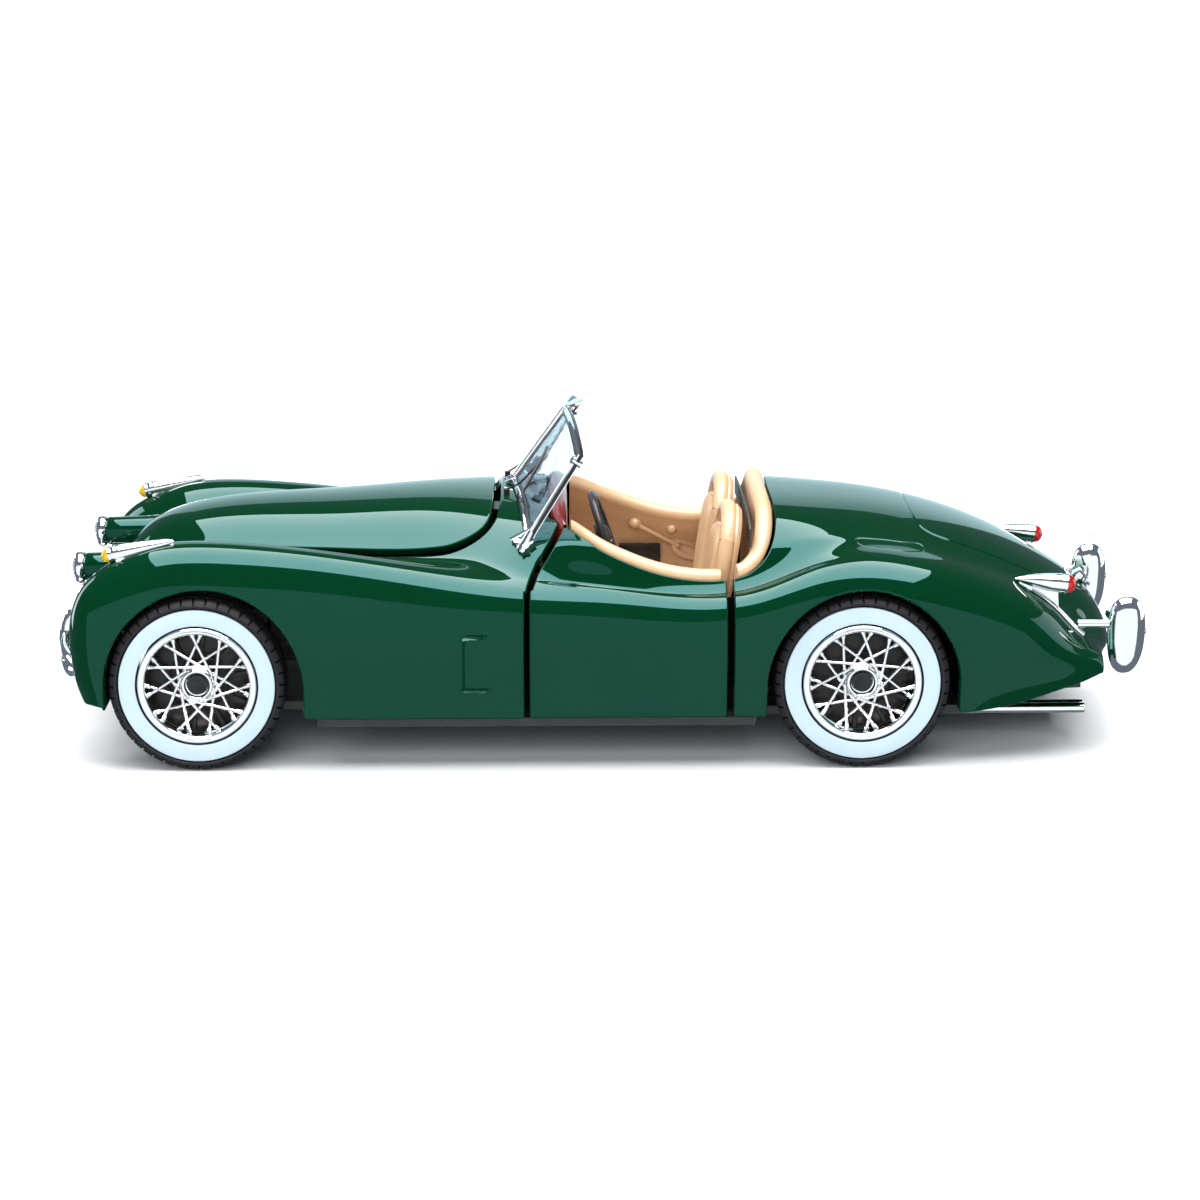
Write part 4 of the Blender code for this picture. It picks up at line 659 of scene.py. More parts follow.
PAINT = look("green_paint", (0.0003, 0.028, 0.0085), 0.022, ior=1.42, tint=(0.36, 0.92, 1.0),
             mottle=(0.09, (0.0003, 0.0245, 0.0072), 0.5), bump=[(0.35, 0.0012)])
CHROME = look("chrome", (0.90, 0.91, 0.93), 0.05, 1.0, rough_mottle=0.03,
              bump=[(0.8, 0.02), (3.0, 0.006)])
BEIGE = look("beige_plastic", (0.66, 0.435, 0.25), 0.34, ior=1.45, rough_mottle=0.08,
             mottle=(0.12, (0.60, 0.385, 0.215), 0.6), bump=[(1.2, 0.02), (7.0, 0.006)])
BROWN = look("red_brown_plastic", (0.20, 0.016, 0.008), 0.16, coat=0.2, rough_mottle=0.05,
             mottle=(0.4, (0.20, 0.016, 0.008), 0.5), bump=[(1.0, 0.012)])
BLACK = look("black_plastic", (0.007, 0.007, 0.008), 0.30, ior=1.38, rough_mottle=0.1,
             mottle=(0.6, (0.022, 0.022, 0.024), 0.6), bump=[(1.5, 0.015), (8.0, 0.004)])
CHASSIS = look("black_plastic", (0.014, 0.014, 0.015), 0.5, rough_mottle=0.1,
               mottle=(0.3, (0.026, 0.026, 0.028), 0.6), bump=[(3.0, 0.03)], tag="_chassis")
RUBBER = look("tyre_rubber", (0.008, 0.008, 0.010), 0.62, ior=1.35, rough_mottle=0.12,
              mottle=(0.5, (0.015, 0.015, 0.018), 0.7), bump=[(2.5, 0.03), (9.0, 0.008)])
WHITEWALL = look("whitewall", (0.47, 0.58, 0.66), 0.35, rough_mottle=0.08,
                 mottle=(0.25, (0.43, 0.55, 0.64), 0.6), bump=[(2.0, 0.01)])
GLASS = look("clear_plastic", (0.80, 0.88, 0.93), 0.02, ior=1.46, clear=1.0, rough_mottle=0.012,
             bump=[(0.25, 0.02)])
LENS = look("clear_lens", (0.93, 0.96, 1.0), 0.03, ior=1.48, clear=0.9, rough_mottle=0.015,
            bump=[(1.5, 0.03)])
AMBER = look("amber_lens", (0.90, 0.62, 0.01), 0.06, ior=1.48, clear=0.35, coat=0.5,
             mottle=(0.8, (0.72, 0.42, 0.01), 0.5), bump=[(1.5, 0.02)])
RED = look("red_lens", (0.60, 0.008, 0.012), 0.06, ior=1.48, clear=0.3, coat=0.5,
           mottle=(0.8, (0.42, 0.004, 0.008), 0.5), bump=[(1.5, 0.02)])
STEEL = look("steel", (0.50, 0.50, 0.51), 0.28, 1.0, rough_mottle=0.08,
             mottle=(0.6, (0.40, 0.40, 0.41), 0.6), bump=[(4.0, 0.012)])
ENGINE = look("engine_grey", (0.055, 0.058, 0.062), 0.42, 0.3, rough_mottle=0.1,
              mottle=(0.3, (0.035, 0.037, 0.04), 0.6), bump=[(2.5, 0.03)])
ALLOY = look("polished_alloy", (0.78, 0.78, 0.80), 0.12, 1.0, rough_mottle=0.05,
             mottle=(0.5, (0.68, 0.68, 0.70), 0.6), bump=[(1.5, 0.012)])
DRUM = look("black_plastic", (0.006, 0.006, 0.007), 0.34, ior=1.35, rough_mottle=0.08,
            mottle=(0.4, (0.020, 0.018, 0.018), 0.6), bump=[(0.8, 0.05)], tag="_drum")
# Painted shade: near-black, rough finish for sheets set in gaps and wells that fall into shade.
PAINTED_SHADE = look("black_plastic", (0.0015, 0.0015, 0.0015), 0.8, ior=1.2, rough_mottle=0.1,
             mottle=(0.6, (0.003, 0.003, 0.003), 0.6), bump=[(2.0, 0.01)], tag="_painted_shade")
DARK_STEEL = look("steel", (0.05, 0.05, 0.052), 0.35, 1.0, rough_mottle=0.08,
                  mottle=(0.6, (0.03, 0.03, 0.032), 0.6), bump=[(4.0, 0.012)], tag="_dark")
DIAL = look("chrome", (0.85, 0.86, 0.84), 0.3, 0.0, mottle=(0.8, (0.74, 0.75, 0.73), 0.6),
            bump=[(2.0, 0.01)], tag="_dial")

# Painted panels

STEPS = ((330, 201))


def sheet_over(u0, u1, v0, v1, fine=1.0):
    us = np.linspace(u0, u1, max(int(STEPS[0] * fine * (u1 - u0) / LAST_HOOP), 8))
    vs = np.linspace(v0, v1, max(int(STEPS[1] * fine * (v1 - v0) / 18), 8))
    return Patch(us, vs)


LIP = 0.35
VENT_X, VENT_Z = (-10.9, -7.0), (13.8, 22.8)


def vent_line(p):
    """Distance to the engraved bracket shape on the front fender's flank."""
    line = np.array([(VENT_X[1], VENT_Z[1]), (VENT_X[0], VENT_Z[1]), (VENT_X[0], VENT_Z[0]),
                     (VENT_X[1], VENT_Z[0])], float)
    return np.where(np.abs(p[:, 1]) > 28, apart(p[:, [0, 2]], line), 9)


BOOT_HALF = [(63.6, 0), (63.7, 6), (64.2, 11), (65.4, 13.6), (68.2, 14.7), (74, 14.6), (80, 13.6),
             (86, 11.6), (91.5, 8.2), (94.6, 4.6), (95.6, 0)]
BOOT_OUTLINE = whole(BOOT_HALF)


def boot_line(p):
    f = inside(p[:, :2], BOOT_OUTLINE)
    return np.where((p[:, 2] > 18) & (p[:, 0] > 45), f, -9)


FLAP = rounded([(53.5, 20.2), (57, 19.6), (61, 19.2), (64.2, 18.6), (64.4, 20.6), (62, 22.4),
                (58, 23.0), (54.5, 22.4)])


def flap_line(p):
    """Distance to the fuel flap's engraved outline on the left rear fender."""
    f = inside(p[:, [0, 1]] * (1, -1), FLAP)
    return np.where((p[:, 2] > 30) & (p[:, 1] < 0), f, -9)


def grooved(patch, field, half, steps=(-1, -0.5, 0, 0.5, 1)):
    for s in steps:
        patch.split(field, s * half)


shell = sheet_over(0, LAST_HOOP, -8.92, 8.92)
shell.split(in_hood, -HOOD_GAP / 2 - LIP, -1)
shell.split(in_cockpit, -LIP, -1)
shell.split(lambda p: -in_grille(p), LIP, 1)
for arch in (FRONT_ARCH, REAR_ARCH):
    shell.split(lambda p: in_arch(p, arch), -LIP, -1)
shell.split(lambda p: np.minimum(in_door(p) + DOOR_FRONT_GAP / 2,
                                 DOOR_REAR + DOOR_REAR_GAP / 2 - p[:, 0]), -LIP, -1)
grooved(shell, boot_line, 0.32)
grooved(shell, flap_line, 0.22)
shell.split(vent_line, 0.5)
shell.split(vent_line, 0.25)
shell.split(vent_line, 0.08)
panel("body_shell_visual", "body", PAINT, shell, ["body_shell"], lip=LIP,
      grooves=[(boot_line, 0.32, 0.22), (flap_line, 0.22, 0.12), (vent_line, 0.45, 0.4)])

hood = sheet_over(0.5, 9.5, -5.2, 5.2, 1.1)
hood.split(in_hood, HOOD_GAP / 2 + LIP, 1)
panel("hood_visual", "hood", PAINT, hood, ["hood"], lip=LIP)

for side, tag in ((-1, "left"), (1, "right")):
    v0, v1 = sorted((side * 2.2, side * 8.92))
    door = sheet_over(8.6, 13.2, v0, v1, 1.3)
    door.split(lambda p: np.minimum(in_door(p) - DOOR_FRONT_GAP / 2,
                                    DOOR_REAR - DOOR_REAR_GAP / 2 - p[:, 0]), LIP, 1)
    door.split(in_cockpit, -LIP, -1)
    panel(f"door_{tag}_visual", "door_" + tag, PAINT, door, ["door_" + tag], lip=LIP, thick=0.8)


def nacelle(side):
    """Headlight housing that sinks into the nose."""
    y, z = side * 13.7, 30.3
    path = [(-73.6, y, z), (-73.2, y, z), (-70, y, z), (-67, y, z), (-64, y, z + 0.1),
            (-61.5, y, z + 0.2), (-60, y, z + 0.3)]
    return pod(path, [2.2, 2.42, 2.5, 2.6, 2.75, 3.0, 3.3], 48)


piece("headlight_housings", "body", PAINT, [nacelle(-1), nacelle(1)])

# Wheels

TYRE_FACE, TYRE_R, TYRE_W = 30.8, 14.4, 7.0
BLOCKS = 44


def tyre_shape(x, side):
    """Tyre with tread blocks that run over both shoulders."""
    profile = [(10.1, 0.75, 0), (12.95, 0.75, 0), (12.95, 0.12, 0), (13.05, 0.02, 0),
               (13.35, 0.0, 0), (13.42, 0.05, 1), (13.9, 0.22, 1), (14.2, 0.62, 1),
               (14.36, 1.3, 1), (14.4, 2.2, 1), (14.4, 2.3, 0), (14.05, 2.32, 0),
               (14.05, 2.6, 0), (14.4, 2.62, 0), (14.42, 3.4, 0), (14.42, 3.6, 0),
               (14.4, 4.38, 0), (14.05, 4.4, 0), (14.05, 4.68, 0), (14.4, 4.7, 0),
               (14.4, 4.8, 1), (14.36, 5.7, 1), (14.2, 6.38, 1), (13.9, 6.78, 1),
               (13.42, 6.95, 1), (13.35, 7.0, 0), (12.0, 7.0, 0), (10.1, 6.5, 0)]
    profile = [(r - 0.02, d, f) for r, d, f in profile]
    cuts = [(0.0, 1.0), (0.14, 1.0), (0.17, 0.0), (0.5, 0.0), (0.97, 0.0)]
    rings = []
    for k in range(BLOCKS):
        for at, deep in cuts:
            a = 2 * math.pi * (k + at) / BLOCKS
            ring = []
            for r, d, f in profile:
                r2 = r - 0.38 * deep * f * (1 if r > 13.5 else 0.25)
                d2 = d
                if f and r < 14.3:
                    inward = 0.32 * deep
                    d2 = d + inward if d < TYRE_W / 2 else d - inward
                ring.append((x + r2 * math.cos(a), side * (TYRE_FACE - d2),
                             TYRE_R + r2 * math.sin(a)))
            rings.append(ring)
    return loft(rings, closed=True)


def spun(x, side, profile, count=96):
    shape = turned([(r, -side * d) for r, d in profile], 1, (x, side * TYRE_FACE, TYRE_R), count)
    return shape


def spoke_shapes(x, side, phase):
    """Crossed spokes, 11 each way, tangent to the hub, with a nipple at the rim."""
    shapes = []
    reach, tangent, cross = 8.95, 2.85, 6.6
    for k in range(11):
        for lean in (-1, 1):
            base = phase + 2 * math.pi * k / 11
            normal = base + lean * math.acos(tangent / cross)

            def at(r, depth):
                a = normal - lean * math.acos(min(tangent / r, 1.0))
                return (x + r * math.cos(a), side * (TYRE_FACE - depth), TYRE_R + r * math.sin(a))
            lift = 0.12 * lean
            path = [at(2.86, 1.35 + lift), at(3.2, 1.38 + lift), at(5.5, 1.62 + lift),
                    at(7.6, 1.86 + lift), at(7.75, 1.88), at(8.2, 1.9), at(reach, 1.95)]
            wide = [0.27, 0.27, 0.26, 0.26, 0.40, 0.42, 0.40]
            shapes.append(sweep(path, [circle(w, 10, 0, w * 0.9) for w in wide],
                                up=(0, side, 0)))
    return shapes


def wheel(x, side, tag, body):
    piece("tyre_" + tag + "_visual", body, RUBBER, tyre_shape(x, side), ["tyre_" + tag])
    ring = [(9.98, 0.42), (9.98, 0.12), (10.08, 0.04), (10.4, 0.0), (11.4, -0.06), (12.3, -0.02),
            (12.6, 0.05), (12.66, 0.16), (12.66, 0.42)]
    piece("whitewall_" + tag + "_visual", body, WHITEWALL, spun(x, side, ring, 128),
          ["whitewall_" + tag])
    rim = [(9.72, 0.5), (9.66, 0.2), (9.5, 0.04), (9.3, 0.02), (9.12, 0.12), (8.95, 0.16),
           (8.75, 0.2), (8.58, 0.28), (8.5, 0.45), (8.48, 0.86), (8.5, 1.2), (8.66, 3.3),
           (8.9, 3.5), (8.9, 6.3), (9.72, 6.3)]
    hub = [(1.0, 5.6), (1.0, 2.2), (1.62, 2.2), (1.62, 1.25), (1.9, 1.18), (1.98, 0.62),
           (2.08, 0.46), (2.3, 0.4), (2.52, 0.5), (2.7, 0.8), (2.8, 1.0), (3.05, 1.1),
           (3.15, 1.25), (3.1, 1.55), (2.8, 1.75), (2.5, 2.2), (2.5, 5.6)]
    phase = math.radians(90 if x < 0 else 85)
    piece("wire_wheel_" + tag + "_visual", body, CHROME,
          [spun(x, side, rim, 128), spun(x, side, hub, 64)] + spoke_shapes(x, side, phase),
          ["wire_wheel_" + tag], angle=50)
    drum = [(1.7, 3.2), (4.6, 2.95), (5.0, 3.25), (7.6, 3.3), (7.9, 3.5), (8.6, 3.55), (8.6, 5.4),
            (1.7, 5.4)]
    ribs = []
    for k in range(10):
        a = 2 * math.pi * (k + 0.3) / 10
        ribs.append(sweep([(x + r * math.cos(a), side * (TYRE_FACE - 3.2), TYRE_R + r * math.sin(a))
                           for r in (5.0, 8.3)], [(-0.5, -0.3), (0.5, -0.3), (0.3, 0.3),
                                                  (-0.3, 0.3)], up=(0, side, 0)))
    piece("brake_drum_" + tag, body, DRUM, [spun(x, side, drum, 64)] + ribs)
    cap = [(0, 0.52), (0.7, 0.56), (1.05, 0.7), (1.15, 1.0), (1.25, 1.3), (1.6, 1.38), (1.6, 2.1),
           (0, 2.1)]
    piece("hub_cap_" + tag, body, DRUM, spun(x, side, cap, 48))


wheel(-54, -1, "front_left", "front_wheel_left")
wheel(-54, 1, "front_right", "front_wheel_right")
wheel(54, -1, "rear_left", "rear_wheels")
wheel(54, 1, "rear_right", "rear_wheels")

# Windscreen

FOOT, TOP = Vector((-2.6, 0, 42.0)), Vector((6.1, 0, 54.0))
CORNER, HEEL = Vector((8.2, 23.0, 50.6)), Vector((-0.3, 22.4, 36.6))


def mix(a, b, t):
    return Vector(a) * (1 - t) + Vector(b) * t


def screen_line():
    """Closed outline of the right pane: centre post up, top rail out, side post down, foot in."""
    line = [mix(FOOT, TOP, t / 8) for t in range(8)]
    for k in range(16):
        p = mix(TOP, CORNER, k / 16)
        p.z += 1.3 * math.sin(math.pi * k / 16)
        line.append(p)
    line += [mix(CORNER, HEEL, t / 8) for t in range(8)]
    for k in range(16):
        p = mix(HEEL, FOOT, k / 16)
        p.z = skin_z(p.x, p.y) + 0.75
        line.append(p)
    return line


SCREEN = screen_line()
SCREEN_MID = sum(SCREEN, Vector()) / len(SCREEN)
SCREEN_N = Vector()
for a, b in zip(SCREEN, SCREEN[1:] + SCREEN[:1]):
    SCREEN_N += (a - SCREEN_MID).cross(b - SCREEN_MID)
SCREEN_N.normalize()
if SCREEN_N.x > 0:
    SCREEN_N = -SCREEN_N


def screen_tube(inset, section, lift=0.0):
    """Section carried round the pane's outline; its first axis points into the pane."""
    rings = []
    count = len(SCREEN)
    for i, p in enumerate(SCREEN):
        ahead = (SCREEN[(i + 1) % count] - SCREEN[i - 1]).normalized()
        inward = ahead.cross(SCREEN_N).normalized()
        if inward.dot(SCREEN_MID - p) < 0:
            inward = -inward
        rings.append([tuple(p + inward * (inset + a) + SCREEN_N * (lift + b))
                      for a, b in section])
    return loft(rings, closed=True)


frame_section = [(-0.45, -0.5), (-0.45, 0.4), (-0.3, 0.55), (0.3, 0.55), (0.45, 0.35),
                 (0.5, -0.35), (0.3, -0.55), (-0.3, -0.55)]
seal_section = [(-0.2, -0.35), (-0.2, 0.35), (0.25, 0.3), (0.25, -0.3)]
frame_shapes = []
for side in (-1, 1):
    frame_shapes.append(sided(screen_tube(0, frame_section), side))
    heel = HEEL.copy()
    skin, n = skin_frame(heel.x - 1.0, heel.y + 0.3)
    tip, tip_n = skin_frame(heel.x - 2.6, heel.y - 1.6)
    back, back_n = skin_frame(heel.x + 1.3, heel.y + 0.1)
    out, out_n = skin_frame(heel.x - 0.9, heel.y + 1.2)
    foot = [tuple(tip + tip_n * 0.1), tuple(out + out_n * 0.1), tuple(back + back_n * 0.1)]
    high = [tuple(tip + tip_n * 0.9), tuple(out + out_n * 1.2), tuple(back + back_n * 1.5)]
    frame_shapes.append(sided(loft([foot, high]), side))
    knee = mix(HEEL, CORNER, 0.10) + SCREEN_N * 0.3
    frame_shapes.append(sided(sweep([tuple(skin + n * 0.3), tuple(knee)],
                                    [circle(1.0, 16), circle(0.6, 16)]), side))
    frame_shapes.append(sided(sweep([tuple(tip + tip_n * 0.5), tuple(mix(HEEL, CORNER, 0.17))],
                                    [circle(0.42, 12), circle(0.36, 12)]), side))
    for at in ((-1.5, -0.5), (-0.1, 0.6)):
        p, q = skin_frame(heel.x + at[0], heel.y + at[1])
        frame_shapes.append(sided(rod(tuple(p), tuple(p + q * 1.75), 0.45, 12), side))
    clamp = mix(HEEL, CORNER, 0.93)
    frame_shapes.append(sided(rod(tuple(clamp - SCREEN_N * 0.9), tuple(clamp + SCREEN_N * 0.9),
                                  0.62, 16), side))
frame_shapes.append(sweep([FOOT + Vector((-0.6, 0, -0.3)), TOP + Vector((-0.25, 0, 0.35))],
                          [circle(0.62, 16)] * 2))
frame_shapes.append(sweep([FOOT + Vector((-1.6, 0, -0.3)), FOOT + Vector((0.6, 0, 0.6))],
                          [circle(0.7, 20, 0, 0.6), circle(0.7, 20, 0, 0.8)]))
piece("windscreen_frame_visual", "body", CHROME, frame_shapes, ["windscreen_frame"], angle=45)
seals = [sided(screen_tube(0.62, seal_section), s) for s in (-1, 1)]
seals += [sided(screen_tube(-0.5, [(-0.12, -0.3), (-0.12, 0.3), (0.08, 0.3), (0.08, -0.3)]), s)
          for s in (-1, 1)]
piece("windscreen_seals", "body", BLACK, seals)


def pane(side):
    rings = []
    count = len(SCREEN)
    line = []
    for i, p in enumerate(SCREEN):
        ahead = (SCREEN[(i + 1) % count] - SCREEN[i - 1]).normalized()
        inward = ahead.cross(SCREEN_N).normalized()
        if inward.dot(SCREEN_MID - p) < 0:
            inward = -inward
        line.append(p + inward * 0.5)
    for h in (-0.22, 0.22):
        rings.append([tuple(p + SCREEN_N * h) for p in line])
    return sided(loft(rings), side)


piece("glass_left_visual", "body", GLASS, pane(-1), ["glass_left"])
piece("glass_right_visual", "body", GLASS, pane(1), ["glass_right"])


def wiper(side):
    """Arm and blade that lie on the pane's front."""
    foot, n = skin_frame(-3.9, 7.2)
    boss = foot + n * 0.2

    def on_pane(y, share):
        low = Vector((mix(FOOT, HEEL, y / 22.4).x, y, skin_z(mix(FOOT, HEEL, y / 22.4).x, y) + 0.9))
        high = mix(TOP, CORNER, y / 23.0)
        return mix(low, high, share) + SCREEN_N * 0.75
    arm = [boss + n * 0.6, on_pane(8.0, 0.08), on_pane(9.2, 0.3), on_pane(9.6, 0.44)]
    blade = [on_pane(12.6, 0.07), on_pane(11.4, 0.24), on_pane(9.8, 0.44), on_pane(7.6, 0.62)]
    arm = [Vector(p) for p in rounded([tuple(p) for p in arm], False, 5)]
    blade = [Vector(p) for p in rounded([tuple(p) for p in blade], False, 6)]
    shapes = [sweep(arm, circle(0.17, 8)), sweep(blade, circle(0.2, 8, 0, 0.3)),
              rod(tuple(foot), tuple(foot + n * 0.95), 0.5, 16)]
    return [sided(s, side) for s in shapes]


piece("wipers_visual", "body", BLACK, wiper(-1) + wiper(1), ["wipers"])

stem_top = TOP + Vector((0.2, 0, 0.2))
mirror_rings = []
for dx, wide, tall in ((0.0, 1.5, 0.3), (0.5, 2.2, 0.42), (1.7, 2.4, 0.5), (2.4, 2.3, 0.45),
                       (2.7, 1.9, 0.25)):
    mirror_rings.append([(stem_top.x + dx, a, stem_top.z + 0.45 + dx * 0.36 + b)
                         for a, b in circle(wide, 32, 0, tall)])
piece("mirror_visual", "body", CHROME,
      [rod(tuple(stem_top - Vector((0, 0, 0.8))), tuple(stem_top + Vector((0.6, 0, 0.6))), 0.35,
           12), loft(mirror_rings)], ["mirror"])

# Cockpit

RIM_R = 1.45
RIM = rounded(COCKPIT_LINE, False, 8)


def rim_side(x):
    """Half width of the cockpit opening beside the doors."""
    low = RIM[(RIM[:, 0] > 3.2) & (RIM[:, 1] > 15)]
    low = low[:int(np.argmax(low[:, 0])) + 1]
    return float(np.interp(x, low[:, 0], low[:, 1]))


def door_trim(side):
    """Moulded inner door panel: rolled top, panel, lever, pull, knob and pocket."""
    front, rear = 6.75, 31.1
    rings = []
    for k in range(41):
        x = front + (rear - front) * k / 40
        end = min(k, 40 - k)
        edge = rim_side(x)
        y0, z0 = edge - 0.3 - RIM_R, skin_z(x, edge) - 0.1
        soft = (0.86, 0.96, 1.0)[min(end, 2)]
        section = [(y0 + RIM_R * soft * math.cos(math.radians(a)),
                    z0 + RIM_R * soft * math.sin(math.radians(a)))
                   for a in np.linspace(-62, 228, 22)]
        section += [(y0 - 0.55, z0 - 2.2), (y0 + 0.2, z0 - 3.2), (26.2, 24.5), (26.4, 12.0),
                    (26.6, 11.7), (27.6, 11.7), (27.8, 12.0), (27.8, 20.0)]
        rings.append([(x, y, z) for y, z in section])
    shapes = [loft(rings)]

    def wall(x, z):
        """Point on the inner face of the panel."""
        y0, z0 = rim_side(x) - 0.3 - RIM_R, skin_z(x, rim_side(x)) - 0.1
        t = max(min((z0 - 3.2 - z) / max(z0 - 3.2 - 24.5, 0.1), 1), 0)
        return Vector((x, y0 + 0.2 + (26.2 - y0 - 0.2) * t, z))

    def dome(x, z, r, tall):
        p = wall(x, z)
        return turned([(0, -tall), (r * 0.5, -tall * 0.92), (r * 0.85, -tall * 0.6),
                       (r, -tall * 0.15), (r, 0.6), (0, 0.6)], 1, tuple(p), 24)
    inward = Vector((0, -1, 0))
    a, b = wall(18.6, 29.0), wall(26.0, 24.6)
    path = [a + inward * 0.6, mix(a, b, 0.3) + inward * 0.8, mix(a, b, 0.7) + inward * 0.8,
            b + inward * 0.6]
    shapes.append(sweep(path, [circle(0.62, 16, 0, 0.5), circle(0.5, 16, 0, 0.45),
                               circle(0.55, 16, 0, 0.45), circle(0.7, 16, 0, 0.5)]))
    shapes.append(dome(18.4, 29.2, 1.15, 1.5))
    shapes.append(dome(24.9, 28.1, 1.0, 1.3))
    shapes.append(dome(16.9, 30.4, 0.3, 0.35))
    shapes.append(dome(30.0, 29.2, 0.3, 0.35))
    loop = []
    for k in range(28):
        t = 2 * math.pi * k / 28
        p = mix(a, b, 1.22)
        along = (b - a).normalized()
        up = Vector((0, 0, 1)) - along * along.z
        loop.append(p + along * 2.7 * math.cos(t) + up.normalized() * 1.2 * math.sin(t)
                    + inward * 0.7)
    shapes.append(sweep(loop, circle(0.52, 12), closed=True, up=(0, 1, 0)))
    shapes.append(box((11.0, 29.5), (25.2, 26.6), (15.2, 15.8)))
    return [sided(s, side) for s in shapes]


def pocket(side):
    shape = box((15.6, 23.0), (24.3, 26.3), (21.6, 24.9))
    return sided(shape, side)


for side, tag in ((-1, "left"), (1, "right")):
    piece(f"door_trim_{tag}_visual", "door_" + tag, BEIGE, door_trim(side),
          ["door_trim_" + tag], angle=40)
    piece("door_pocket_" + tag, "door_" + tag, BLACK, pocket(side), bevel=0.25)


def rear_rim():
    """Rolled rim behind the seats and the wall below it."""
    start = int(np.argmin(np.hypot(RIM[:, 0] - 33.8, RIM[:, 1] - 24.9)))
    half = RIM[start:]
    line = np.concatenate([half, (half * (1, -1))[-2::-1]])
    count = len(line)
    spine, wall = [], []
    for i, (x, y) in enumerate(line):
        x0, y0 = line[max(i - 1, 0)]
        x1, y1 = line[min(i + 1, count - 1)]
        size = math.hypot(x1 - x0, y1 - y0)
        nx, ny = (y1 - y0) / size, -(x1 - x0) / size
        z = skin_z(x, y)
        px, py = x + nx * (RIM_R + 0.3), y + ny * (RIM_R + 0.3)
        spine.append((px, py, z + 0.15))
        ring = [(-1.35, 0.15), (-0.9, 1.1), (0.2, 1.55), (1.2, 1.0), (1.5, 0.1), (1.35, -1.2),
                (1.2, -3.0), (1.1, -4.4), (0.3, -4.8), (-0.2, -3.6), (-0.6, -1.4), (-1.2, -0.6)]
        wall.append([(px + nx * a, py + ny * a, z + b) for a, b in ring])
    dense = []
    for ring in wall:
        closed = rounded(ring, True, 3)
        dense.append([tuple(p) for p in closed])
    return loft(dense)


def tub_shapes():
    shapes = [rear_rim()]
    shapes.append(box((4.0, 36.6), (-24.4, 24.4), (9.1, 10.3)))
    back = []
    for k in range(25):
        y = 22.0 * (k / 12 - 1)
        x = 36.9 + 0.8 * math.cos(y / 22 * math.pi / 2)
        back.append([(x, y, 10.0), (x + 1.0, y, 10.0), (x + 1.3, y, skin_z(x, y) - 3.2),
                     (x + 0.2, y, skin_z(x, y) - 3.0)])
    shapes.append(loft(back))
    tunnel = [(-3.2, 10.0), (-3.1, 12.5), (-2.6, 13.9), (-1.8, 14.4), (1.8, 14.4), (2.6, 13.9),
              (3.1, 12.5), (3.2, 10.0)]
    shapes.append(prism(tunnel, 0, 4.5, 36))
    for side in (-1, 1):
        for k in range(9):
            x = 6.0 + k * 1.1
            y = sorted((side * 5.2, side * 18.8))
            shapes.append(box((x, x + 0.5), y, (10.2, 10.5)))
    return shapes


piece("interior_tub_visual", "body", BEIGE, tub_shapes(), ["interior_tub"], angle=40)
# Painted shade: a dark strip behind the seats, below the rear rim, where that gap falls into shade.
piece("cockpit_shade_strip", "body", CHASSIS,
      [loft([[(x, y, 35.0), (x + 0.3, y, 35.0), (x + 0.3, y, 38.0), (x, y, 38.0)]
             for x, y in ((35.9, -21.5), (36.2, -10), (36.2, 10), (35.9, 21.5))])])


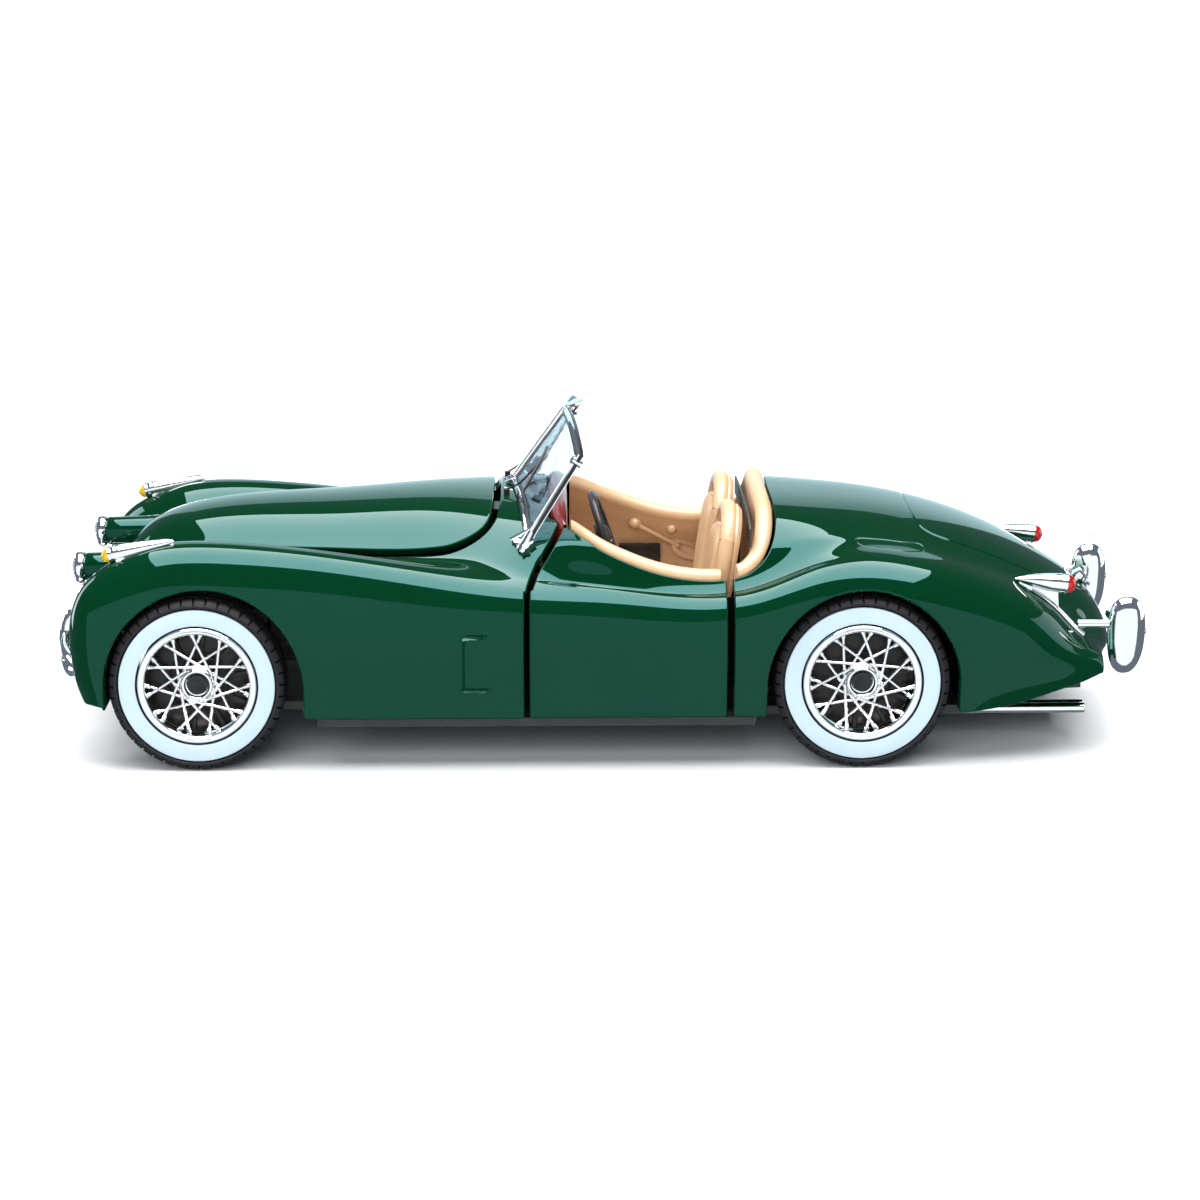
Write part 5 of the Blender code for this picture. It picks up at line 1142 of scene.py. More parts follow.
def seat(side):
    """Bucket seat: shell, fluted pad, rolled edge and cushion."""
    mid = 11.95
    half = 7.7
    shapes = []

    def back_at(s):
        """Centre of the back at height share s."""
        return Vector((29.6 + 3.6 * s, 0, 15.5 + 25.0 * s))
    outline = []
    for a in np.linspace(0, math.pi, 17):
        outline.append((half * math.cos(a), 19.5 + 5.0 * math.sin(a)))
    outline = [(half * 0.96, 0.0), (half, 9)] + outline + [(-half, 9), (-half * 0.96, 0.0)]

    def slab(shrink, low, high):
        rings = []
        for depth, scale in ((low, shrink - 0.05), (low + 0.5, shrink), (high - 0.6, shrink),
                             (high, shrink - 0.06)):
            ring = []
            for a, b in outline:
                s = b / 25.0
                p = back_at(s)
                ring.append((p.x + depth, side * (mid + a * scale), 28.0 + (b - 12.5) * scale))
            rings.append(ring)
        return loft(rings)
    shapes.append(slab(1.0, -0.4, 2.0))
    for k in range(-3, 4):
        y = k * 1.75
        top = 37.0 - abs(k) * 0.55
        path = [(28.9, side * (mid + y), 18.2), (29.8, side * (mid + y), 26),
                (31.1, side * (mid + y), 34), (32.2, side * (mid + y), top)]
        path = [tuple(p) for p in rounded(path, False, 5)]
        shapes.append(pod(path, [0.95] * (len(path) - 1) + [0.6], 14))
    edge = []
    for a, b in [(half - 0.4, 1.0), (half - 0.3, 9)] + [
            ((half - 0.5) * math.cos(t), 19.0 + 5.0 * math.sin(t))
            for t in np.linspace(0.0, math.pi, 15)] + [(-half + 0.3, 9), (-half + 0.4, 1.0)]:
        p = back_at(b / 25.0)
        edge.append((p.x - 0.1, side * (mid + a), 15.5 + b))
    edge = [tuple(p) for p in rounded(edge, False, 4)]
    shapes.append(pod(edge, [1.35] * len(edge), 16))
    cushion = []
    for y, scale in ((-half, 0.86), (-half + 0.5, 0.95), (-half + 1.4, 1.0), (half - 1.4, 1.0),
                     (half - 0.5, 0.95), (half, 0.86)):
        ring = [(14.3, 11.3), (13.9, 15.0), (14.6, 17.0), (16.2, 17.9), (19.5, 17.7),
                (24.0, 17.1), (28.0, 16.8), (30.5, 16.4), (31.5, 11.3)]
        cushion.append([(22 + (x - 22) * scale, side * (mid + y), 11.3 + (z - 11.3) * scale)
                        for x, z in ring])
    shapes.append(loft(cushion))
    for k in range(-3, 4):
        y = mid + k * 1.75
        path = [(15.2, side * y, 17.1), (17.5, side * y, 17.5), (22, side * y, 17.1),
                (27.6, side * y, 16.6)]
        shapes.append(pod([tuple(p) for p in rounded(path, False, 4)],
                          [0.6] + [0.95] * 11 + [0.6], 14))
    return shapes


piece("seat_left_visual", "body", BEIGE, seat(-1), ["seat_left"], angle=42)
piece("seat_right_visual", "body", BEIGE, seat(1), ["seat_right"], angle=42)


def dash_shapes():
    """Padded panel under the cowl's edge; its ends turn back to meet the doors."""
    rings = []
    for k in range(49):
        y = 19.4 * (k / 24 - 1)
        edge = abs(y)
        x = 3.35 + max(0, edge - 15) ** 1.3 * 0.26
        rear = 6.2 + max(0, edge - 17) * 0.12
        top = skin_z(x, y) + 0.1
        section = [(x, 25), (x, top - 1), (x + 0.3, top - 0.1), (x + 0.9, top + 0.35),
                   (rear - 1.0, top + 0.3), (rear - 0.25, top - 0.3), (rear, top - 1.2),
                   (rear - 0.15, top - 2.6), (rear - 0.6, top - 3.4), (rear - 0.9, top - 6),
                   (rear - 1.0, 27), (rear - 1.4, 25)]
        rings.append([(a, y, b) for a, b in section])
    return [loft(rings)]


def edge_shadow(side):
    """Painted shade: near-black sheets behind the shut lines of a door."""
    return [sided(box((-4.2, 3.0), (24.6, 25.0), (9, 31.5)), side),
            sided(box((31.9, 35.6), (24.9, 25.3), (9, 27.5)), side)]


def arch_shade_sheet(arch, side):
    """Painted shade: near-black sheet round a wheel well, where the well falls into shade."""
    cx, cz, r = arch
    angles = np.radians(np.linspace(-14, 194, 49))
    rings = []
    for a in angles:
        ring = []
        for y, grow in ((18.9, 0.5), (29.3, 0.5), (29.3, 0.9), (18.9, 0.9)):
            ring.append((cx + (r + grow) * math.cos(a), side * y, cz + (r + grow) * math.sin(a)))
        rings.append(ring)
    return loft(rings)


def arch_shade_wall(arch, side):
    """Painted shade: near-black inner wall of a rear wheel well, open round the axle."""
    cx, cz, r = arch
    rings = []
    for a in np.radians(np.linspace(-14, 194, 49)):
        rings.append([(cx + reach * math.cos(a), side * y, cz + reach * math.sin(a))
                      for y, reach in ((18.2, 4.0), (18.2, r + 0.9), (18.7, r + 0.9), (18.7, 4.0))])
    return loft(rings)


# Painted shade: a near-black sheet under the cowl, so the hood gap shows dark instead of the seats
# behind.
painted_shade_firewall = []
for k in range(33):
    y = 24.0 * (k / 16 - 1)
    top = skin_z(2.0, y) - 1.6
    painted_shade_firewall.append([(1.6, y, 8.8), (2.1, y, 8.8), (2.1, y, top), (1.6, y, top)])
piece("painted_shade_firewall", "body", PAINTED_SHADE, loft(painted_shade_firewall))
# Painted shade: near-black sheets behind the door gaps and round the wheel wells.
for side, tag in ((-1, "left"), (1, "right")):
    piece("door_shadow_" + tag, "body", PAINTED_SHADE, edge_shadow(side))
    piece("wheel_well_shade_front_" + tag, "body", PAINTED_SHADE, arch_shade_sheet(FRONT_ARCH, side))
    piece("wheel_well_shade_rear_" + tag, "body", PAINTED_SHADE,
          [arch_shade_sheet(REAR_ARCH, side), arch_shade_wall(REAR_ARCH, side)])

piece("dashboard_visual", "body", BROWN, dash_shapes(), ["dashboard"], angle=40)
bezels, dials, marks = [], [], []
for y, z, r in ((-2.9, 34.4, 1.75), (2.9, 34.4, 1.75), (0, 35.6, 0.95), (0, 32.3, 0.8),
                (6.0, 35.2, 0.9), (-6.0, 35.2, 0.9)):
    bezels.append(turned([(r, -0.5), (r, 0.35), (r - 0.12, 0.5), (r - 0.3, 0.35),
                          (r - 0.3, -0.5)], 0, (5.3, y, z), 40))
    dials.append(turned([(0, 0.12), (r - 0.32, 0.1), (r - 0.32, -0.3), (0, -0.3)], 0,
                         (5.3, y, z), 40))
    tip = Vector((0, math.sin(y + 1.0), math.cos(y + 1.0))) * (r - 0.6)
    marks.append(rod((5.46, y, z), tuple(Vector((5.46, y, z)) + tip), 0.07, 6))
    marks.append(turned([(0, 0.3), (0.16, 0.28), (0.16, 0.05), (0, 0.05)], 0, (5.3, y, z), 12))
    for k in range(9):
        t = math.pi * (0.75 + 1.5 * k / 8) + math.pi / 2
        out, near = r - 0.38, r - 0.38 - 0.25 * r / 1.75
        marks.append(rod((5.44, y + near * math.cos(t), z + near * math.sin(t)),
                           (5.44, y + out * math.cos(t), z + out * math.sin(t)), 0.045, 4))
for y in (-1.6, -0.8, 0.8, 1.6, 4.4, -4.4):
    bezels.append(turned([(0, 0.9), (0.28, 0.8), (0.3, 0.5), (0.16, 0.4), (0.16, -0.4),
                          (0, -0.4)], 0, (5.3, y, 30.4), 14))
piece("gauge_bezels", "body", CHROME, bezels)
piece("gauge_faces", "body", DIAL, dials)
piece("gauge_marks", "body", BLACK, marks)

HUB = Vector((12.6, -10.9, 35.0))
TILT = math.radians(19.4)
COLUMN = Vector((math.cos(TILT), 0, math.sin(TILT)))
ACROSS = Vector((-COLUMN.z, 0, COLUMN.x))


def tilted(shape):
    verts, faces = shape
    return [tuple(HUB + COLUMN * a + Vector((0, 1, 0)) * b + ACROSS * c)
            for a, b, c in verts], faces


def wheel_shapes():
    r = 6.85
    rings = []
    turns = 144
    for k in range(turns):
        t = 2 * math.pi * k / turns
        grip = 0.74 + 0.09 * math.sin(36 * t)
        section = [(r + 0.74 * math.cos(a) * (1 if math.cos(a) > 0 else grip / 0.74),
                    0.68 * math.sin(a)) for a in np.linspace(0, 2 * math.pi, 12, False)]
        rings.append([(d, q * math.cos(t), q * math.sin(t)) for q, d in section])
    shapes = [tilted(loft(rings, closed=True))]
    boss = [(0, 0.75), (0.7, 0.7), (1.2, 0.5), (1.7, 0.0), (2.0, -0.8), (2.1, -1.5), (1.1, -1.6),
            (0.65, -1.6), (0.65, -0.9), (0, -0.9)]
    shapes.append(tilted(turned(boss, 0, (0, 0, 0), 36)))
    for k in range(4):
        base = math.pi / 4 + k * math.pi / 2
        for off in (-0.13, 0, 0.13):
            a, b = base + off * 2.2, base + off * 0.8
            path = [(-0.7, 1.7 * math.cos(a), 1.7 * math.sin(a)),
                    (-0.25, 4.2 * math.cos(b), 4.2 * math.sin(b)),
                    (0, (r - 0.1) * math.cos(b), (r - 0.1) * math.sin(b))]
            shapes.append(tilted(sweep(path, circle(0.24, 8), up=(1, 0, 0))))
    return shapes


piece("steering_wheel_visual", "steering_wheel", BLACK, wheel_shapes(), ["steering_wheel"])
column = [(0, -8.4), (1.0, -8.4), (1.0, -4.0), (1.15, -3.8), (1.15, -2.6), (0.95, -2.3),
          (0.95, -1.85), (0.5, -1.8), (0.5, -1.0), (0, -1.0)]
stalk = sweep([(-3.2, -0.8, 0.3), (-2.6, -3.0, 1.4), (-2.4, -4.6, 2.0)],
              [circle(0.22, 10), circle(0.2, 10), circle(0.34, 10)])
piece("steering_column_visual", "body", BLACK,
      [tilted(turned(column, 0, (0, 0, 0), 32)), tilted(stalk)], ["steering_column"])
lever = [(12, 0, 14.3), (12.25, 0, 16.5), (12.6, 0, 19.6)]
knob = [(0, -1.15), (0.55, -1.05), (0.95, -0.6), (1.1, 0), (0.98, 0.55), (0.6, 0.95), (0, 1.1)]
boot = [(0, -0.1), (1.6, -0.1), (1.5, 0.3), (0.9, 0.9), (0.6, 1.0), (0, 1.0)]
piece("gear_lever_visual", "body", CHROME, [pod(lever, [0.42, 0.36, 0.3], 14),
                                            turned(boot, 2, (12, 0, 14.3), 24)], ["gear_lever"])
piece("gear_knob", "body", BLACK, turned(knob, 2, (12.65, 0, 20.4), 28))

# Lamps


def headlight(side, tag):
    x, y, z = -73.75, side * 13.7, 30.3
    ring = [(2.2, 0.1), (2.5, 0.0), (2.66, -0.25), (2.7, -0.6), (2.62, -1.0), (2.4, -1.35),
            (2.12, -1.45), (1.98, -1.3), (1.95, -0.9), (1.95, 0.1)]
    piece(f"headlight_bezel_{tag}_visual", "body", CHROME, turned(ring, 0, (x, y, z), 64),
          ["headlight_bezel_" + tag])
    bowl = [(0, 0.15), (1.9, 0.15), (1.9, -0.75), (1.6, -0.35), (1.0, -0.05), (0, 0.02)]
    piece(f"headlight_bowl_{tag}", "body", CHROME, turned(bowl, 0, (x, y, z), 48))
    rings = []
    for r, d in ((1.9, -0.85), (1.9, -1.15), (1.75, -1.42), (1.45, -1.7), (1.0, -1.92),
                 (0.5, -2.03), (0.12, -2.06)):
        ring = []
        for a in np.linspace(0, 2 * math.pi, 96, False):
            wave = 0.05 * math.sin(r * math.cos(a) * 2 * math.pi / 0.55) if r < 1.7 else 0
            ring.append((x + d + wave, y + r * math.cos(a), z + r * math.sin(a)))
        rings.append(ring)
    piece(f"headlight_lens_{tag}_visual", "body", LENS, loft(rings), ["headlight_lens_" + tag])


def parking_lamp(side, tag):
    start, end = Vector((-68.2, 25.07, 34.9)), Vector((-57.6, 25.07, 37.2))
    spots = np.linspace(0, 1, 15)
    radii = [1.15 + 0.25 * math.sin(min(t * 5, 1) * math.pi / 2) - 1.15 * max(t - 0.15, 0) ** 1.25
             for t in spots]
    radii[-1] = 0.2
    path = [mix(start, end, t) for t in spots]
    shapes = [pod(path, radii, 36)]
    under = []
    for t in np.linspace(0.1, 0.97, 9):
        p = mix(start, end, t)
        foot = skin_frame(p.x, p.y)[0].z - 0.1
        half = 1.05 * (1 - t) + 0.25
        under.append([(p.x, p.y - half, p.z), (p.x, p.y + half, p.z),
                      (p.x + 0.4, p.y + half * 1.25, foot),
                      (p.x + 0.4, p.y - half * 1.25, foot)])
    shapes.append(loft(under))
    fin = [(p.x, p.y, p.z + r * 0.92) for p, r in zip(path[1:-1], radii[1:-1])]
    shapes.append(pod(fin, [0.2] * len(fin), 8))
    for t, r in ((0.03, 1.42), (0.12, 1.5)):
        p = mix(start, end, t)
        aim = (end - start).normalized()
        shapes.append(sweep([p - aim * 0.18, p + aim * 0.18], [circle(r, 32)] * 2))
    piece(f"parking_lamp_{tag}_visual", "body", CHROME, [sided(s, side) for s in shapes],
          ["parking_lamp_" + tag])
    aim = (start - end).normalized()
    tip = [start + aim * d for d in (0.0, 0.35, 0.75, 1.05, 1.25)]
    piece(f"parking_lens_{tag}_visual", "body", AMBER,
          sided(pod(tip, [1.12, 1.1, 0.9, 0.55, 0.15], 32), side), ["parking_lens_" + tag])


def tail_lamp(side, tag):
    y = 18.75
    start, end = Vector((80.0, y, 28.9)), Vector((88.6, y, 28.0))
    spots = np.linspace(0, 1, 15)
    radii = [0.15 + 1.45 * math.sin(min(t * 1.1, 1) * math.pi / 2) ** 0.8 for t in spots]
    path = [mix(start, end, t) for t in spots]
    shapes = [pod(path, radii, 36)]
    under = []
    for t in np.linspace(0.08, 0.82, 10):
        p = mix(start, end, t)
        foot = skin_frame(p.x + 0.4 * t, y)[0].z - 0.2
        half = 0.3 + 0.45 * t
        under.append([(p.x, y - half, p.z - 0.3), (p.x, y + half, p.z - 0.3),
                      (p.x + 0.3 * t, y + half * 1.3, foot),
                      (p.x + 0.3 * t, y - half * 1.3, foot)])
    shapes.append(loft(under))
    for t, r in ((0.86, 1.68), (0.97, 1.75)):
        p = mix(start, end, t)
        aim = (end - start).normalized()
        shapes.append(sweep([p - aim * 0.16, p + aim * 0.16], [circle(r, 32)] * 2))
    spine = []
    for x in np.linspace(82.5, 91.5, 10):
        q, n = skin_frame(x, y + 0.6)
        spine.append(q + n * 0.15)
    shapes.append(sweep(spine, [circle(0.9 - 0.06 * k, 16, 0, 0.45) for k in range(10)]))
    piece(f"tail_lamp_{tag}_visual", "body", CHROME, [sided(s, side) for s in shapes],
          ["tail_lamp_" + tag])
    aim = (end - start).normalized()
    tip = [end + aim * d for d in (0.0, 0.5, 1.0, 1.35, 1.55)]
    piece(f"tail_lens_{tag}_visual", "body", RED,
          sided(pod(tip, [1.5, 1.48, 1.25, 0.8, 0.2], 32), side), ["tail_lens_" + tag])


for side, tag in ((-1, "left"), (1, "right")):
    headlight(side, tag)
    parking_lamp(side, tag)
    tail_lamp(side, tag)

# Grille, bumper, overriders


def grille_shapes():
    def oval(grow, x):
        return [(x, (GRILLE_WIDE + grow) * math.cos(a), GRILLE_Z + (GRILLE_TALL + grow) * math.sin(a))
                for a in np.linspace(0, 2 * math.pi, 72, False)]
    ring = [oval(-0.25, -70.6), oval(-0.15, -71.9), oval(-0.35, -72.35), oval(-0.75, -72.45),
            oval(-1.1, -72.1), oval(-1.15, -70.6)]
    shapes = [loft(ring, closed=True)]
    for k in range(-6, 7):
        y = k * 0.62
        reach = (GRILLE_TALL - 0.9) * math.sqrt(max(1 - (y / (GRILLE_WIDE - 0.8)) ** 2, 0.02))
        wide = 0.2 if k else 0.42
        front = -72.1 if k else -72.5
        path = [(front + 0.5, y, GRILLE_Z - reach), (front, y, GRILLE_Z - reach * 0.5),
                (front - 0.1, y, GRILLE_Z), (front, y, GRILLE_Z + reach * 0.5),
                (front + 0.5, y, GRILLE_Z + reach)]
        shapes.append(sweep([tuple(p) for p in rounded(path, False, 4)],
                            [(wide, 0.35), (0, 0.5), (-wide, 0.35), (-wide, -0.4), (wide, -0.4)],
                            up=(-1, 0, 0)))
    return shapes


piece("grille_visual", "body", CHROME, grille_shapes(), ["grille"])
piece("grille_shadow", "body", CHASSIS,
      loft([[(x, (GRILLE_WIDE - 0.4) * math.cos(a), GRILLE_Z + (GRILLE_TALL - 0.4) * math.sin(a))
             for a in np.linspace(0, 2 * math.pi, 48, False)] for x in (-70.4, -69.9)]))


def bumper_shapes():
    section = [(-0.5, -1.75), (-0.62, -0.9), (-0.45, 0.0), (-0.62, 0.9), (-0.5, 1.75), (0.0, 1.95),
               (0.55, 1.6), (0.62, 0.7), (0.42, 0.12), (0.42, -0.12), (0.62, -0.7), (0.55, -1.6),
               (0.0, -1.95)]
    path = []
    for t in np.linspace(-1, 1, 61):
        x = -79 + 1.2 + 3.2 * abs(t) ** 4 + 0.6 * t ** 2
        path.append((x, 28.0 * t, 16.8))
    dense = [tuple(p) for p in rounded([(-a, b) for a, b in section], True, 3)]
    sections = []
    for t in np.linspace(-1, 1, 61):
        scale = 1 - 0.35 * max(abs(t) - 0.93, 0) / 0.07
        sections.append([(a * scale, b * scale) for a, b in dense])
    shapes = [sweep(path, sections)]
    for side in (-1, 1):
        rings = []
        for z, rx, ry, dx in ((13.0, 0.4, 0.4, 0.5), (13.5, 1.0, 0.9, 0.2), (14.8, 1.35, 1.2, 0.0),
                              (17, 1.55, 1.35, 0.0), (19.4, 1.4, 1.25, 0.1), (21.2, 1.0, 1.0, 0.4),
                              (22.0, 0.5, 0.5, 0.7)):
            ring = []
            for a in np.linspace(0, 2 * math.pi, 36, False):
                c = math.cos(a)
                crest = 0.16 * max(-c, 0) ** 14
                ring.append((-77.45 + dx + (rx + crest) * c,
                             side * 9.5 + ry * math.sin(a), z))
            rings.append(ring)
        shapes.append(loft(rings))
        y = sorted((side * 15.5, side * 17.5))
        shapes.append(box((-77.2, -66.5), y, (16.1, 17.5)))
        for d in (22.5, 12.5, 5.0):
            x = -79 + 1.0 + 3.2 * (d / 28) ** 4 + 0.6 * (d / 28) ** 2
            shapes.append(turned([(0, -0.75), (0.3, -0.68), (0.45, -0.45), (0.45, 0), (0, 0)], 0,
                                 (x, side * d, 16.8), 18))
    return shapes


piece("front_bumper_visual", "body", CHROME, bumper_shapes(), ["front_bumper"], angle=50)


def overrider(side):
    """Tall rear overrider with a crest, bolt, bar and bracket."""
    y0 = 19.6
    rings = []
    for k in range(1, 40):
        lean = math.cos(math.pi * k / 40)
        t = (1 - lean) / 2
        full = (1 - abs(lean) ** 2.5) ** 0.4
        rx, ry = 3.25 * full * (0.88 + 0.12 * t), 2.3 * full
        ring = []
        for a in np.linspace(0, 2 * math.pi, 48, False):
            crest = 0.12 * full * max(math.cos(a), 0) ** 16
            ring.append((98.6 - 0.3 * (1 - t) ** 2 + (rx + crest) * math.cos(a),
                         side * (y0 + ry * math.sin(a)), 13.0 + 13.0 * t))
        rings.append(ring)
    shapes = [loft(rings)]
    shapes.append(pod([(90.5, side * y0, 21.4), (94, side * y0, 21.4), (97, side * y0, 21.4)],
                      [0.75, 0.7, 0.75], 20))
    shapes.append(turned([(0, 0.5), (0.35, 0.45), (0.5, 0.25), (0.5, -0.9), (0, -0.9)], 0,
                         (101.5, side * y0, 20.2), 20))
    shapes.append(pod([(97.0, side * 18.4, 21.5), (97.2, side * 16.0, 21.5),
                       (96.6, side * 13.2, 21.6)], [0.62, 0.62, 0.5], 18, 1.5))
    return shapes


piece("rear_overrider_left_visual", "body", CHROME, overrider(-1), ["rear_overrider_left"], angle=50)
piece("rear_overrider_right_visual", "body", CHROME, overrider(1), ["rear_overrider_right"],
      angle=50)

plate, plate_n = skin_frame(93.4, 0)
handle = []
for t, s in ((-0.1, 0.9), (0.5, 1.0), (1.1, 0.85), (1.45, 0.45)):
    c = plate + plate_n * t
    handle.append([(c.x + plate_n.z * b * s, a * s, c.z - plate_n.x * b * s)
                   for a, b in circle(2.6, 36, 0, 1.35)])
bar = [plate + plate_n * 1.1 + Vector((1.1, 0, -1.4)) + Vector((0, y, 0)) for y in (-1.6, 0, 1.6)]
piece("boot_handle_visual", "body", CHROME,
      [loft(handle), pod(bar, [0.3, 0.36, 0.3], 12)], ["boot_handle"])

pipes = [turned([(1.1, 0), (1.45, 0.3), (1.5, 1.0), (1.5, 13.0), (1.45, 13.7), (1.1, 14.0)],
                0, (62, -11, 5.2), 32)]
for y in (-12.1, -10.1):
    pipes.append(turned([(0.5, 18.3), (0.56, 18.36), (0.72, 18.4), (0.85, 18.3), (0.86, 17.6),
                         (0.85, 0), (0.5, 0)], 0, (75, y, 4.9), 32))
pipes.append(box((77.5, 79), (-12.1, -10.1), (4.5, 5.3)))
piece("exhaust_pipes_visual", "body", CHROME, pipes, ["exhaust_pipes"])

# Under the hood and the floor


def engine_shapes():
    shapes = [box((-44, -15), (-4.2, 4.2), (11.5, 25)), box((-15.5, -9), (-3, 3), (12, 20))]
    for k in range(6):
        x = -41 + k * 4.3
        shapes.append(box((x, x + 2.6), (-4.9, 4.9), (21, 23.6)))
        shapes.append(rod((x + 1.3, 4.0, 22.4), (x + 1.3, 7.4, 20.2), 0.7, 14))
    shapes.append(rod((-41, 7.4, 20.1), (-17, 7.4, 20.1), 1.0, 20))
    for side in (-1, 1):
        shapes.append(box((-43, -16), sorted((side * 4.0, side * 4.6)), (13.5, 14.5)))
    return shapes


piece("engine_block_visual", "body", ENGINE, engine_shapes(), ["engine_block"], bevel=0.2)
cover = [(-5.6, 25.3), (-5.6, 29.5), (-5.2, 30.7), (-4.4, 31.5), (-2.6, 31.5), (-1.8, 30.7),
         (-1.4, 29.5), (1.4, 29.5), (1.8, 30.7), (2.6, 31.5), (4.4, 31.5), (5.2, 30.7),
         (5.6, 29.5), (5.6, 25.3)]
covers = [prism(cover, 0, -42, -17)]
for side in (-1, 1):
    for k in range(6):
        covers.append(turned([(0, 0.5), (0.3, 0.45), (0.42, 0.2), (0.42, -0.2), (0, -0.2)], 2,
                             (-40 + k * 4.2, side * 3.5, 31.5), 12))
piece("cam_covers_visual", "body", ALLOY, covers, ["cam_covers"], bevel=0.15)
radiator = [box((-46.5, -44.5), (-6, 6), (14, 28)), box((-46.3, -44.7), (-6.3, 6.3), (27, 29))]
for k in range(11):
    radiator.append(box((-46.8, -46.4), (-5.6, 5.6), (14.8 + k * 1.1, 15.2 + k * 1.1)))
piece("radiator", "body", CHASSIS, radiator, bevel=0.1)
fan = []
for k in range(4):
    a = k * math.pi / 2
    fan.append(sweep([(-44.1, 0, 20), (-44.1, 4.6 * math.cos(a), 20 + 4.6 * math.sin(a))],
                     [(-0.9, -0.12), (0.9, 0.2), (0.9, 0.32), (-0.9, 0.0)], up=(1, 0, 0)))
fan.append(rod((-44.6, 0, 20), (-43.6, 0, 20), 1.1, 20))
piece("fan", "body", STEEL, fan)
carbs = []
for x in (-36, -23):
    carbs.append(rod((x, -4.0, 24), (x, -7.6, 24), 1.3, 24))
    carbs.append(turned([(0, 3.2), (0.8, 3.1), (1.2, 2.6), (1.3, 0), (1.3, -2), (0, -2)], 2,
                        (x, -6.8, 24.5), 24))
piece("carburettors", "body", ALLOY, carbs)
leads = []
for k in range(6):
    x = -39.6 + k * 4.3
    path = [(x, 0, 29.4), (x + 0.4, 0.3, 30.8), (x + 2, 0.2, 31.2), (-15.5, 1.5, 29),
            (-13.5, 2.0, 25.5)]
    leads.append(pod([tuple(p) for p in rounded(path, False, 6)], [0.3] * 25, 8))
leads.append(rod((-13.5, 2.0, 20), (-13.5, 2.0, 25.5), 1.3, 20))
piece("ignition_leads", "body", BLACK, leads)

under = []
for side in (-1, 1):
    under.append(box((-34, 36), sorted((side * 21.0, side * 23.4)), (6.2, 7.05)))
    under.append(box((-44, 52), sorted((side * 14.6, side * 16.2)), (6.3, 7.05)))
for x in (-30, -14, 58):
    under.append(box((x, x + 2), (-16, 16), (6.3, 7.05)))
under.append(pod([(-10, 0, 7.0), (-6, 0, 7.0), (4, 0, 7.0)], [2.2, 2.6, 1.2], 24, 0.4))
under.append(turned([(0, -0.6), (3.2, -0.45), (3.6, 0.1), (0, 0.1)], 2, (50, 0, 6.9), 32))
piece("chassis_ribs", "body", CHASSIS, under, bevel=0.15)

SOFT_EDGE = 0.00015  # metres
SOFT_ANGLE = 40  # degrees
DRAWN = {"chassis_plate": CHASSIS}
DRAWN.update((node, DARK_STEEL) for node in (
    "hood_hinge", "door_hinge_left", "door_hinge_right", "knuckle_left", "knuckle_right",
    "tie_rod", "rear_axle"))
for node, finish in DRAWN.items():
    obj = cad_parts[node]
    obj.data.materials.clear()
    obj.data.materials.append(finish["material"])
    soft = obj.modifiers.new("soft_edges", "BEVEL")
    soft.width = SOFT_EDGE
    soft.segments = 2
    soft.limit_method = "ANGLE"
    soft.angle_limit = math.radians(SOFT_ANGLE)


def screw(name, x, node):
    """Pan head with a cross recess."""
    head = [(0.9, 1.3), (0.9, -0.1), (1.8, -0.1), (1.8, -0.5), (1.6, -0.85), (1.0, -1.02),
            (0.35, -1.05), (0.3, -0.5), (0.3, 1.3)]
    shapes = [turned(head, 2, (x, 0, 7.0), 40)]
    for k in range(4):
        a = k * math.pi / 2 + math.pi / 4
        cx, cy = x + 0.85 * math.cos(a), 0.85 * math.sin(a)
        shapes.append(sweep([(x, 0, 6.3), (x, 0, 6.6)], [circle(0.32, 12)] * 2))
        shapes.append(turned([(0, -0.05), (0.3, -0.03), (0.42, 0.15), (0, 0.15)], 2,
                             (cx, cy, 6.1), 12))
    return piece(name, "body", STEEL, shapes, [node])


screw("screw_front_visual", -1.8, "screw_front")
screw("screw_rear_visual", 66, "screw_rear")

# Stage, light and camera


def stage_mesh(name, verts, faces, mat):
    mesh = bpy.data.meshes.new(name)
    mesh.from_pydata([tuple(v) for v in verts], [], faces)
    mesh.materials.append(mat)
    obj = bpy.data.objects.new(name, mesh)
    bpy.context.scene.collection.objects.link(obj)
    return obj


def glow(name, color, strength):
    mat = bpy.data.materials.new(name)
    mat.use_nodes = True
    tree = mat.node_tree
    tree.nodes.remove(tree.nodes["Principled BSDF"])
    shine = tree.nodes.new("ShaderNodeEmission")
    shine.inputs["Color"].default_value = (*color, 1)
    shine.inputs["Strength"].default_value = strength
    tree.links.new(shine.outputs["Emission"], tree.nodes["Material Output"].inputs["Surface"])
    return mat


def card(name, corners, color, strength):
    """Reflector that only shows in glossy surfaces."""
    obj = stage_mesh(name, corners, [(0, 1, 2, 3)], glow(name, color, strength))
    obj.visible_camera = False
    obj.visible_diffuse = False
    obj.visible_shadow = False
    obj.visible_transmission = False
    return obj


floor_mat = bpy.data.materials.new("floor")
floor_mat.use_nodes = True
floor_shader = floor_mat.node_tree.nodes["Principled BSDF"]
floor_shader.inputs["Base Color"].default_value = (0.86, 0.88, 0.90, 1)
floor_shader.inputs["Roughness"].default_value = 0.9
floor_shader.inputs["Specular IOR Level"].default_value = 0.0
FLOOR_RADIUS, FLOOR_SIDES = 0.47, 96
floor_turns = [2 * math.pi * k / FLOOR_SIDES for k in range(FLOOR_SIDES)]
floor = stage_mesh("floor", [(FLOOR_RADIUS * math.cos(a), FLOOR_RADIUS * math.sin(a), 0)
                             for a in floor_turns], [tuple(range(FLOOR_SIDES))], floor_mat)
floor.visible_glossy = False

